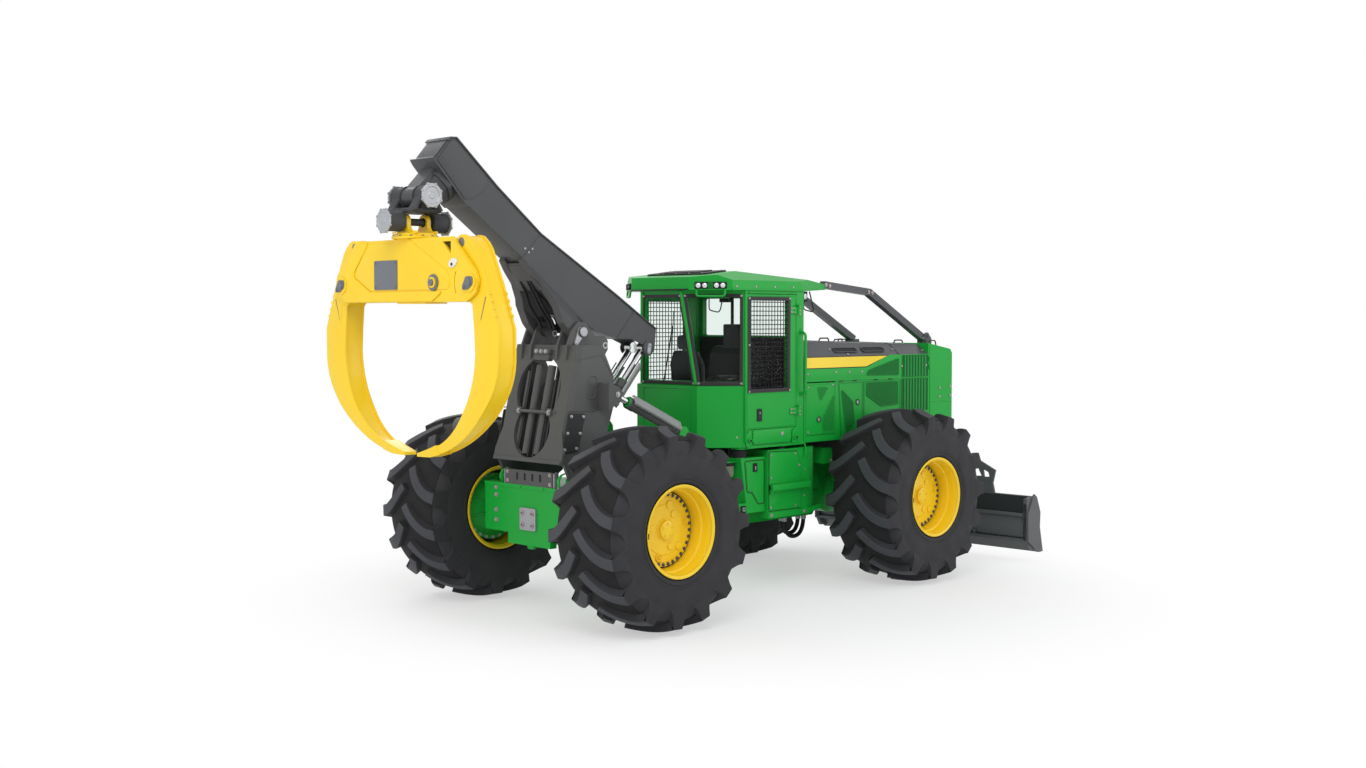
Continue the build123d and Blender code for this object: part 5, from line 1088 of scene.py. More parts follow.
# ------------ rear frame, guard and winch
# The rear half's welded frame of green plate: a wide bumper with a bolted hitch plate, two hoops
# that guard the hoses behind the slotted guard, and the winch in its bearings on the deck.
BUMPER_X = -2390
HITCH = 966                    # height of the hitch plate's middle
DECK = 1298
WINCH = (-1420, 1530)
rivet_metal = finish("rivet_metal", ((186, 170, 172), (160, 146, 150)), (0.3, 0.45), metal=0.35)
dark_steel_and_shade = finish("dark_steel_and_shade", ((42, 42, 44), (34, 34, 36)), (0.45, 0.6))
painted(green_enamel, "rear_frame", "front_frame", "front_axle", "rear_axle")
painted(arch_paint, "lower_guard", "winch_housing")
green, grey, rivets, dark = drafts(4)
behind = plane((BUMPER_X, 0, 0), (0, -1, 0), (0, 0, 1))        # grows rearwards
for s in (-1, 1):
    bolts(rivets, [(BUMPER_X, s * 515, z) for z in (1250, 1172, 1021, 919)], (-1, 0, 0), 36, 16, 16, 1.35)
    bars(green, [at_y(s * 452, ((-2296, 1448), (-2352, 1432), (-2384, 1386), (-2386, 1338), (-2358, 1304)))],
        30, 12, sides=4, bend=40, out=(-1, 0, 0.3))
    plate(grey, rounded([(-2388, 1300), (-2388, 1440), (-2352, 1462), (-2330, 1440), (-2330, 1402),
        (-2350, 1390), (-2350, 1300)], 10), side_plane(s * 384), -7, 7)
    # the bumper's ends are boxed in behind the plate
    plate(green, rounded([(-2298, 842), (-2298, 1290), (-2190, 1250), (-2150, 1100), (-2190, 900)], 20),
        side_plane(s * 640), -8, 8)
    # covers on the deck
    plate(green, rounded([(-700, s * 60), (-700, s * 340), (-1080, s * 340), (-1080, s * 60)], 24), Matrix(),
        DECK - 2, DECK + 8)
    bolts(grey, [(x, s * y, DECK + 8) for x in (-725, -890, -1055) for y in (85, 315)], (0, 0, 1), 18, 9)
    # the winch's bearing caps
    lathe(grey, [(0, 0), (0, 96), (16, 92), (22, 84), (22, 56), (34, 50), (34, 0)],
        (WINCH[0], s * 245, WINCH[1]), 40, axis=(0, s, 0), close=False)
    bolts(rivets, around((WINCH[0], s * 266, WINCH[1]), 74, 8), (0, s, 0), 18, 10)
plate(green, rounded(rect(-704, 1262, 704, 1301), 6), behind, -4, 6)
# painted shade: dark discs stand for two holes in the strip
for y in (-240, 116):
    plate(dark, disc(9, (-y, 1281), 16), behind, 5, 7)
plate(grey, rounded(rect(-124, HITCH - 112, 124, HITCH + 112), 26), behind, -4, 20)
hitch_bolts = [(BUMPER_X - 20, y, HITCH + z) for y in (-75, 75) for z in (-60, 60)]
bolts(rivets, hitch_bolts, (-1, 0, 0), 42, 12, 16, 1.3)
# painted shade: a dark spot for the hollow in each hitch bolt's head
bolts(dark, [(x - 11, y, z) for x, y, z in hitch_bolts], (-1, 0, 0), 20, 3, washer=1)
# a drain lug under the bumper
plate(green, rounded([(-60, 698), (60, 698), (40, 664), (-40, 664)], 10, 3), behind, -60, -20)
bolts(rivets, [(-2392, y, z) for z in (1335, 1425) for y in (-330, 330)], (-1, 0, 0), 24, 12)
piece("rear_frame_plates", green, green_enamel, "rear_chassis", bevel=2)
piece("rear_frame_castings", grey, cap_steel, "rear_chassis", bevel=2)
piece("rear_frame_bolts", rivets, rivet_metal, "rear_chassis")
piece("rear_frame_hole_shade", dark, dark_steel_and_shade, "rear_chassis")

# the winch's empty drum, with the ribs that the rope lies against
bm = bmesh.new()
for y in range(-150, 151, 50):
    lathe(bm, [(y - 6, 118), (y - 4, 125), (y + 4, 125), (y + 6, 118)], (WINCH[0], 0, WINCH[1]), 48)
painted(dark_enamel_and_shade, "winch_drum")
piece("winch_drum_ribs", bm, dark_enamel_and_shade, "winch_spool")

# ------------ axles
# Cast axle housings in the machine's green: a flange with a ring of bolts on each brake housing,
# bolts round the differential, ribs along the tubes and a saddle clamp on each side.
AXLE_Z = 974
for wheel_end, axle_x, body in (("rear", -2000, "rear_chassis"), ("front", 2000, "front_chassis")):
    green, grey = drafts(2)
    for s in (-1, 1):
        centre = (axle_x, 0, AXLE_Z)
        lathe(green, [(1084, 316), (1088, 350), (1108, 352), (1114, 344), (1114, 316)], centre, 72,
            axis=(0, s, 0))
        lathe(green, [(1235, 318), (1240, 330), (1262, 330), (1268, 318)], centre, 72, axis=(0, s, 0))
        lathe(green, [(640, 148), (644, 172), (668, 172), (674, 148)], centre, 48, axis=(0, s, 0))
        bolts(grey, around((axle_x, s * 1087, AXLE_Z), 334, 24), (0, -s, 0), 22, 14)
        bolts(grey, [(axle_x + x, s * 490, 1036) for x in (-115, 115)], (0, 0, -1), 36, 24)
        for k in range(8):
            a = k * math.pi / 4 + 0.3
            spoke = plane(centre, (0, s, 0), (math.cos(a), 0, math.sin(a)))
            plate(green, [(690, 145), (990, 145), (1086, 300), (1086, 316), (1000, 190), (690, 168)], spoke,
                -7, 7)
    piece(f"{wheel_end}_axle_ribs", green, green_enamel, body)
    piece(f"{wheel_end}_axle_bolts", grey, cap_steel, body)

# ------------ cab
# A welded green cab with slanted rear corners. Its windows sit in dark gaskets with a rivet at each
# corner, its doors have screens of square steel mesh, and its lower panels are riveted on.
window_gasket = finish("window_gasket", ((62, 58, 62), (52, 49, 52)), (0.5, 0.65), bump=0.1)
glass_clear, tree, shader = new_material("glass_clear")
tint = node(tree, "ShaderNodeTexNoise", {"Vector": node(tree, "ShaderNodeTexCoord").outputs["Object"],
    "Scale": 0.7})
tone = node(tree, "ShaderNodeMix", {"Factor": tint.outputs["Fac"], "A": srgb(246, 250, 248),
    "B": srgb(238, 246, 242)}, data_type="RGBA")
haze = node(tree, "ShaderNodeMapRange", {"Value": tint.outputs["Fac"], "To Min": 0.0, "To Max": 0.03})
give(shader, {"Base Color": tone.outputs["Result"], "Roughness": haze, "Transmission Weight": 1.0,
    "IOR": 1.08})
painted(glass_clear, "cab_glass")
painted(green_enamel, "cab_shell", "cab_door_right", "cab_door_left", "cab_roof")

SIDE_Y = 800                   # the green skin of the cab, its doors and the engine's sides
rear_glass = plane((-444, 0, 2245), (0, -1, 0), (-106, 0, 1015))
rear_window = [(-365, 45), (365, 45), (262, 945), (-262, 945)]
quarter_window = [(60, 2290), (482, 2290), (622, 3185), (60, 3185)]
gasket, green, rivets, black = drafts(4)


def framed(where, opening, out, wide=34, thick=9):
    """A gasket round a window with a rivet in each corner, standing out by out times thick."""
    rim = rounded(inset(opening, -wide), 30)
    plate(gasket, rim, where, 0, out * thick, holes=[rounded(opening, 26)])
    way = normal(where, out)
    bolts(rivets, on(where, out * thick, inset(opening, -wide / 2)), way, 22, 7, 12, 1.1)


framed(rear_glass, rear_window, 1)
for s in (-1, 1):
    corner = plane((-90, s * SIDE_Y, 0), (-354, -s * 390, 0), (0, 0, 1))
    framed(corner, quarter_window, s)
    bars(green, [[(-452, s * 414, 2262), (-556, s * 300, 3250)]], 34, sides=10)
    # pressed line, rivets and seam of the lower panels
    bars(green, [on(corner, s * 2, ((20, 1640), (20, 2216), (505, 2216), (505, 1640)))], 9, 6, bend=30)
    bolts(rivets, [corner @ Vector((x, 1700, s * 3)) for x in (90, 265, 440)], normal(corner, s), 24, 8, 12,
        1.3)
    bars(gasket, [[(-90, s * 803, 2248), (-444, s * 413, 2248)]], 12, 10)
    # body side round the door, mid rail, rivets of the door post
    bars(green, [[(-40, s * 806, 3236), (720, s * 806, 3236)]], 22, 14)
    bars(green, [[(-92, s * SIDE_Y, 1640), (-92, s * SIDE_Y, 3240)]], 30, 22, sides=8)
    bolts(rivets, [(788, s * SIDE_Y, z) for z in (1905, 1945, 1985, 3010, 3050, 3090)], (0, s, 0), 20, 8, 12,
        1.3)
    # grab rail in front of the door
    bars(green, [[(812, s * SIDE_Y, 2130), (812, s * 862, 2160), (812, s * 862, 2790),
        (812, s * SIDE_Y, 2820)]], 30, bend=46, sides=10)
    for z in (2130, 2820):
        lathe(green, pin(0, 30, s * 8, 30), (812, s * SIDE_Y, z), 16)
    # flap box under the door, between two brackets with bosses
    skin = side_plane(s * SIDE_Y)
    plate(green, rounded([(30, 1622), (590, 1622), (620, 1652), (620, 1758), (590, 1768), (30, 1768),
        (6, 1744), (6, 1646)], 12), skin, 0, -s * 26)
    bars(rivets, [[(470, s * 826, 1730), (470, s * 826, 1690)]], 14, 8)
    bolts(rivets, [(470, s * 826, 1714)], (0, s, 0), 26, 10)
    for x in (-50, 690):
        plate(green, rounded([(x - 44, 1600), (x + 44, 1600), (x + 44, 1752), (x + 10, 1766),
            (x - 44, 1730)], 16), skin, 0, -s * 20)
        lathe(green, pin(s * 820, 30, s * 846, 26), (x, 0, 1664), 20)
        lathe(black, pin(s * 846, 16, s * 850, 14), (x, 0, 1664), 16)
    plate(green, rounded(rect(-70, 1576, 840, 1600), 6), skin, 6, -s * 12)
# the rear glass's wiper: its arm and its blade
bars(black, [on(rear_glass, 14, ((-60, 40), (-30, 120), (140, 640)))], 14, bend=20)
bars(black, [on(rear_glass, 10, ((90, 330), (170, 800)))], 12, 8)
# rivets and pressed line under the rear glass, and the windscreen's gasket
bolts(rivets, [(-478, y, 1700) for y in (-360, -120, 120, 360)], (-1, 0, 0), 24, 8, 12, 1.3)
bars(green, [[(-481, -360, 1640), (-481, -360, 2216), (-481, 360, 2216), (-481, 360, 1640)]], 9, 6, bend=30)
framed(plane((850, 0, 0), (0, 1, 0), (0, 0, 1)), rect(-700, 2770, 700, 3190), 1, 26)
piece("cab_gaskets", gasket, window_gasket, bevel=2)
piece("cab_panels", green, green_enamel, bevel=2)
piece("cab_rivets", rivets, rivet_metal)
piece("cab_wiper", black, dark_steel_and_shade)

# ------------ cab doors
# Each door is a green frame with a gasketed window behind steel mesh, a recessed black latch and
# bolted hinge straps.
window_x, window_z = (-24, 590), (2200, 3160)
for side, s in (("right", -1), ("left", 1)):
    gasket, green, rivets, black, wires, pane = drafts(6)
    skin = side_plane(s * SIDE_Y)
    opening = rect(window_x[0], window_z[0], window_x[1], window_z[1])
    plate(gasket, rounded(inset(opening, -32), 24), skin, 0, -s * 10, holes=[rounded(inset(opening, 8), 18)])
    corners = inset(opening, -16)
    (x0, z0), (_, z1) = corners[0], corners[3]
    bolts(rivets, at_y(s * 810, corners + [(x0, (z0 + z1) / 2)]), (0, s, 0), 20, 7, 12, 1.1)
    for count, span, other, along_z in ((13, window_x, window_z, True), (20, window_z, window_x, False)):
        runs = [span[0] + (span[1] - span[0]) * (i + 0.5) / count for i in range(count)]
        depth = s * (797 if along_z else 790)
        bars(wires, [[(r, depth, other[0] - 12), (r, depth, other[1] + 12)] if along_z
            else [(other[0] - 12, depth, r), (other[1] + 12, depth, r)] for r in runs], 8, sides=6)
    plate(pane, inset(opening, 1.5), side_plane(s * 762), 0, -s * 5)
    # black latch in its recess
    plate(black, rounded(rect(90, 1860, 168, 1996), 14), skin, 0, -s * 7)
    plate(gasket, rounded(rect(104, 1884, 154, 1972), 18), skin, -s * 6, -s * 10)
    lathe(rivets, pin(s * 810, 9, s * 814, 8), (129, 0, 1950), 14)
    # pressed frame line and hinge straps
    rim = inset(rect(-72, 1784, 727, 3214), 14)
    bars(green, [at_y(s * 801, rounded(rim, 30))], 8, 6, sides=6, close=True)
    for z in (1950, 3050):
        plate(green, rounded(rect(618, z - 36, 700, z + 36), 10), skin, 0, -s * 9)
        bolts(rivets, [(x, s * 809, z + dz) for x in (640, 676) for dz in (-20, 20)], (0, s, 0), 16, 7, 12,
            1.3)
    for made, name, paint, slot in (
        (gasket, "gasket", window_gasket, "black_plastic"), (green, "frame", green_enamel, "green_paint"),
        (rivets, "rivets", rivet_metal, "rod_steel"), (black, "latch", dark_steel_and_shade, "black_plastic"),
        (wires, "screen", dark_steel_and_shade, "black_plastic"), (pane, "pane", glass_clear, "glass"),
    ):
        piece(f"cab_door_{name}_{side}", made, paint, f"cab_door_body_{side}",
            bevel=2 if name in ("gasket", "frame") else 0)

# ------------ cab roof
# A green roof that overhangs all round, highest over the seat. Lamps sit in dark recesses at its
# rear corners, tube rails hang below them, and a black hatch lies on top.
lamp_lens = finish("lamp_lens", ((236, 238, 240), (214, 217, 220)), (0.05, 0.15), metal=0.2, bump=0.02)
green, black, lens, rivets = drafts(4)
for s in (-1, 1):
    corner = plane((-580, s * 440, 0), (280, s * 370, 0), (0, 0, 1))
    plate(black, rounded(rect(62, 3270, 405, 3346), 10), corner, 0, -s * 8)
    for u in (102, 172, 296, 364):
        spot = corner @ Vector((u, 3308, -s * 8))
        way = normal(corner, -s)
        lathe(black, [(0, 24), (0, 35), (16, 35), (16, 30), (6, 24)], spot, 24, axis=way)
        lathe(lens, [(0, 0.1), (0, 29), (8, 28), (13, 16), (14, 0.1)], spot, 24, axis=way)
    bars(green, [[corner @ Vector((u, z, -s * 9)) for z in (3278, 3340)] for u in (212, 226, 240, 254)], 8,
        6, sides=4)
    # U rails under the corners
    bars(green, [[corner @ Vector((u, z, -s * d)) for u, z,
        d in ((84, 3262, 4), (84, 3196, 12), (384, 3196, 12), (384, 3262, 4))]], 24, bend=28, sides=10)
    # eave strip and its rivets
    bars(green, [[(-300, s * 812, 3268), (800, s * 812, 3268), (1450, s * 602, 3296)],
        [(-582, s * 440, 3268), (-302, s * 812, 3268)]], 20, 12)
    bolts(rivets, [(x, s * 811, 3300) for x in (-240, 60, 360, 660)], (0, s, 0), 20, 7, 12, 1.2)
    # work lamp box with its guard loop under the front
    box(black, 1010, 1100, *sorted((s * 500, s * 640)), 3150, 3262)
    spot = Vector((1100, s * 570, 3200))
    lathe(lens, [(0, 0.1), (0, 38), (8, 36), (12, 0.1)], spot, 24, axis="x")
    lathe(lens, [(0, 0.1), (0, 34), (8, 32), (12, 0.1)], (1055, s * 640, 3206), 24, axis=(0, s, 0))
    bars(black, [[(930, s * 730, 3262), (930, s * 730, 3060), (1110, s * 730, 3030), (1110, s * 660, 3262)]],
        14, bend=40)
    bars(black, [[(-590, s * 440, 3268), (-590, -s * 440, 3268)]] if s > 0 else [], 14, 10)
hatch = plane((0, 0, 3470), (-1, 0, -0.1214), (0, -1, 0))
plate(black, rounded([(16, -455), (330, -455), (360, -420), (360, 420), (330, 455), (16, 455)], 20), hatch,
    0, 16)
plate(black, rounded(rect(60, -300, 300, 300), 40), hatch, 14, 26)
bolts(rivets, [hatch @ Vector((x, y, 16)) for x in (36, 336) for y in (-400, -200, 0, 200, 400)],
    normal(hatch), 16, 6, 12, 1.2)
piece("cab_roof_trim", green, green_enamel)
piece("cab_roof_lamps", black, dark_steel_and_shade, bevel=2)
piece("cab_roof_lenses", lens, lamp_lens)
piece("cab_roof_rivets", rivets, rivet_metal)

# ------------ engine hood
# The hood's upper part is dark grey with slotted vents and lifting handles. Below it run a bare
# yellow stripe with a dark outline and a green rail with a louvred vent.
stripe_yellow = finish("stripe_yellow", ((255, 221, 20), (250, 212, 12)), (0.25, 0.35), coat=0.4, bump=0.03)
# painted shade: a dark green for the shade behind the louvres; it also colours the seams and the latches'
# rubber rings
vent_shade_and_seam_green = finish("vent_shade_and_seam_green", ((8, 96, 40), (6, 84, 34)), (0.45, 0.6))
slat_green = finish("slat_green", ((20, 140, 54), (16, 130, 48)), (0.4, 0.55))
green_slats, dark, green, rivets, stripe, hood, slots = drafts(7)


def hood_z(x, start):
    """The hood's top and its edges fall slowly towards the front."""
    return start - (x - 860) * 0.026


def louvres(ground, slats, outline, where, out, angle, pitch=24, wide=9):
    """A louvred vent: a dark ground of painted shade cut to an outline, and slats across it at an angle."""
    plate(ground, outline, where, 0, out * 2)
    way = Vector((math.cos(math.radians(angle)), math.sin(math.radians(angle))))
    over = Vector((-way.y, way.x))
    offsets = [Vector(p).dot(over) for p in outline]
    count = int((max(offsets) - min(offsets)) / pitch)
    runs = []
    for i in range(1, count + 1):
        level = min(offsets) + (max(offsets) - min(offsets)) * i / (count + 1)
        cuts = []
        for p, q in zip(outline, outline[1:] + outline[:1]):
            a, b = Vector(p).dot(over) - level, Vector(q).dot(over) - level
            if (a < 0) != (b < 0):
                cuts.append((Vector(p) + (Vector(q) - Vector(p)) * (a / (a - b))).dot(way))
        if len(cuts) == 2 and abs(cuts[0] - cuts[1]) > 20:
            lo, hi = sorted(cuts)
            runs.append([where @ (way * t + over * level).to_3d() + where.to_3x3() @ Vector((0, 0, out * 4))
                for t in (lo + 4, hi - 4)])
    bars(slats, runs, wide, 7, sides=4, out=tuple(normal(where, out)))
    bars(slats, [on(where, out * 3, outline)], 9, 8, sides=6, close=True)


for s in (-1, 1):
    skin = side_plane(s * SIDE_Y)
    out = -s
    # green rail, stripe with its outline
    plate(green, [(862, 2260), (3148, 2260), (3148, 2536), (2376, 2536), (1958, 2400), (862, 2400)], skin, 0,
        out * 5)
    plate(slots, [(862, 2400), (1954, 2400), (2378, 2534), (862, 2534)], skin, 0, out * 3)
    plate(stripe, [(862, 2410), (1950, 2410), (2344, 2526), (862, 2526)], skin, 0, out * 5)
    bars(green, [[(862, s * 803, 2262), (3148, s * 803, 2262)]], 12, 8)
    louvres(dark, green_slats, rounded([(1950, 2308), (2560, 2296), (2560, 2496), (1990, 2366)], 24),
        side_plane(s * 804), out, 28, 22)
    bolts(rivets, at_y(s * 805, ((915, 2345), (1400, 2356), (1640, 2356), (1870, 2352), (2620, 2400),
        (3100, 2400))), (0, s, 0), 20, 8, 12, 1.3)
    for x in (1290, 1500, 1745, 2130, 2400):
        plate(slots, rect(x - 34, 2248, x + 34, 2260), skin, 0, out * 9)
    # the sloping face above: slots, bolts
    slope = plane((0, s * SIDE_Y, 2530), (1, 0, 0), (0, -s * 160, 160))
    for x0, x1 in ((1440, 1850), (1950, 2360)):
        ring_line = rounded([(x0, 62), (x1, 62), (x1 - 24, 128), (x0, 128)], 24)
        # painted shade: dark plates fill the vent slots, for the shade inside them
        plate(slots, ring_line, slope, out * -6, out * 7)
        bars(hood, [on(slope, out * 10, ring_line)], 14, 10, sides=6, close=True)
    bolts(rivets, on(slope, out * 4, ((905, 40), (960, 120), (1380, 110), (1640, 30), (2520, 90),
        (3080, 60))), normal(slope, out), 20, 9, 12, 1.3)
    bars(hood, [[(2580, s * 640, hood_z(2580, 2712)), (2580, s * SIDE_Y, 2532)]], 10, 6)
    # handles and bolts on top
    bars(slots, [[(x + dx, s * 470, hood_z(x, z)) for dx,
        z in ((0, 2718), (20, 2752), (160, 2752), (180, 2714))] for x in (1500, 2900)], 16, bend=24)
    bolts(rivets, [(x, s * 610, hood_z(x, 2726) - 610 * 0.023) for x in (960, 1300, 1700, 2100, 2500, 2900)],
        (0, 0, 1), 22, 12, 12, 1.3)
for x in (1560, 2560):
    bars(hood, [[(x, y, hood_z(x, 2726) - abs(y) * 0.023) for y in (-640, 0, 640)]], 12, 6)
hood_paint = finish("hood_enamel", ((80, 81, 84), (74, 75, 78)), (0.34, 0.46), bump=0.08, coat=0.2)
painted(hood_paint, "engine_hood", "roof_struts")
piece("hood_stripe", stripe, stripe_yellow)
piece("hood_rails", green, green_enamel, bevel=2)
piece("hood_ribs", hood, hood_paint)
piece("hood_trim_and_slot_shade", slots, dark_steel_and_shade)

# ------------ engine sides and their doors
# Green side panels with slanted seams, diagonal louvres, round latches and hinges. The rear door
# on each side hangs on pins under the seam.
vents = (("door", [(1085, 2196), (1285, 2196), (1142, 2036)]),
    ("door", [(1382, 2120), (1382, 1690), (1175, 1690), (1165, 1850)]),
    ("side", [(1500, 2166), (1712, 2012), (1742, 1750), (1590, 1650)]),
    ("side", [(1955, 2222), (2550, 2222), (2550, 1950), (2230, 1940), (1955, 2075)]))
for side, s in (("right", -1), ("left", 1)):
    skin = side_plane(s * SIDE_Y)
    out = -s
    door_ground, door_slats, door_metal = drafts(3)
    for owner, outline in vents:
        own = owner == "door"
        louvres(door_ground if own else dark, door_slats if own else green_slats, rounded(outline, 22), skin,
            out, 32, 22)
    # vertical louvres ahead of the doors
    louvres(dark, green_slats, rect(2625, 1862, 3135, 2246), skin, out, 90, 58, 30)
    louvres(dark, green_slats, rect(2625, 2270, 3135, 2526), side_plane(s * 804), out, 90, 58, 30)
    # seams between the doors
    for x0, x1 in ((1450, 1500), (1902, 1902), (2600, 2600)):
        plate(dark, [(x0 - 3, 2246), (x0 + 3, 2246), (x1 + 3, 1612), (x1 - 3, 1612)], skin, 0, out * 1.5)
    for panel in ([(1512, 1632), (1470, 2230), (1884, 2230), (1884, 1632)],
            [(1920, 1632), (1920, 2238), (2582, 2238), (2582, 1632)]):
        bars(green_slats, [at_y(s * SIDE_Y, rounded(panel, 24))], 9, 6, close=True)
    # latches: a dark rubber ring round a bare boss
    for x, z, ground, metal in ((1798, 2005, dark, rivets), (1110, 1836, door_ground, door_metal)):
        lathe(ground, sided(s, [(800, 20), (800, 36), (806, 36), (806, 20)]), (x, 0, z), 28)
        lathe(metal, pin(s * SIDE_Y, 21, s * 804, 21), (x, 0, z), 24)
    bolts(rivets, at_y(s * 801, ((1560, 1622), (1840, 1622), (2000, 1622), (2520, 1622), (2660, 1660),
        (3110, 1660), (2660, 1800), (3110, 1800))), (0, s, 0), 20, 8, 12, 1.3)
    bolts(door_metal, at_y(s * 801, ((925, 1700), (925, 2200), (1350, 2215))), (0, s, 0), 18, 8, 12, 1.3)
    bars(door_slats, [at_y(s * SIDE_Y, rounded(rect(905, 1682, 1378, 2226), 30))], 8, 6, close=True)
    # the doors' louvre grounds are painted shade
    for made, name, paint, slot in ((door_ground, "ground", vent_shade_and_seam_green, "green_paint"),
            (door_slats, "louvres", green_enamel, "green_paint"),
            (door_metal, "latch", rivet_metal, "rod_steel")):
        piece(f"engine_door_{name}_{side}", made, paint, f"engine_door_body_{side}")
piece("hood_vent_shade_and_seams", dark, vent_shade_and_seam_green)
piece("hood_louvres", green_slats, slat_green)
piece("hood_rivets", rivets, rivet_metal)

# ------------ front shroud and roof struts
# A green shroud carries the radiator screen. Dark square tubes run from the roof to brackets on it,
# to push branches over the hood.
green, dark, rivets, mesh = drafts(4)
for s in (-1, 1):
    bars(green, [[(3182, s * 801, z) for z in (1700, 2640)], [(3190, s * 801, 1960), (3636, s * 801, 1950)]],
        9, 6)
    bolts(rivets, at_y(s * 801, ((3380, 2120), (3380, 2010), (3600, 2130), (3600, 2020), (3240, 1700),
        (3600, 1700))), (0, s, 0), 24, 10, 12, 1.3)
    for z in (2380, 2470):
        bars(green, [[(3166, s * 808, z - 28), (3166, s * 808, z + 28)]], 24, sides=10)
    # strut feet, joint plates and bolts
    for x, z in ((1500, 3341), (2279, 3270), (3360, 2716)):
        bolts(rivets, [(x - 34, s * 601, z + 2), (x + 34, s * 601, z - 8)], (0, s, 0), 26, 12)
    plate(dark, rounded([(3296, 2662), (3470, 2640), (3470, 2712), (3400, 2790), (3340, 2790)], 14),
        side_plane(s * 604), 0, -s * 10)
    bolts(dark, at_y(s * 614, ((3340, 2690), (3440, 2680), (3385, 2750))), (0, s, 0), 26, 12)
    bars(dark, [at_y(s * 690, ((3250, 2650), (3270, 2700), (3440, 2690), (3460, 2620)))], 16, bend=24)
    for z in (1520, 2100):
        bars(dark, [at_y(s * 700, ((3640, z), (3662, z + 16), (3662, z + 90), (3640, z + 106)))], 18, bend=20)
bars(mesh, [[(3604, y, 1482 + 37.5 * i) for y in (-636, 636)] for i in range(26)], 9, 7, sides=4)
bars(mesh, [[(3607, -636 + 38.5 * i, z) for z in (1468, 2418)] for i in range(34)], 9, 7, sides=4)
bars(green, [[(3642, y, z) for y, z in rounded(rect(-660, 1445, 660, 2440), 30)]], 26, 12, close=True)
bolts(rivets, [(3641, s * 720, 1500 + 230 * i) for s in (-1, 1) for i in range(5)], (1, 0, 0), 24, 10)
piece("shroud_trim", green, green_enamel)
piece("strut_brackets", dark, hood_paint)
piece("shroud_bolts", rivets, rivet_metal)
piece("radiator_screen", mesh, dark_steel_and_shade)

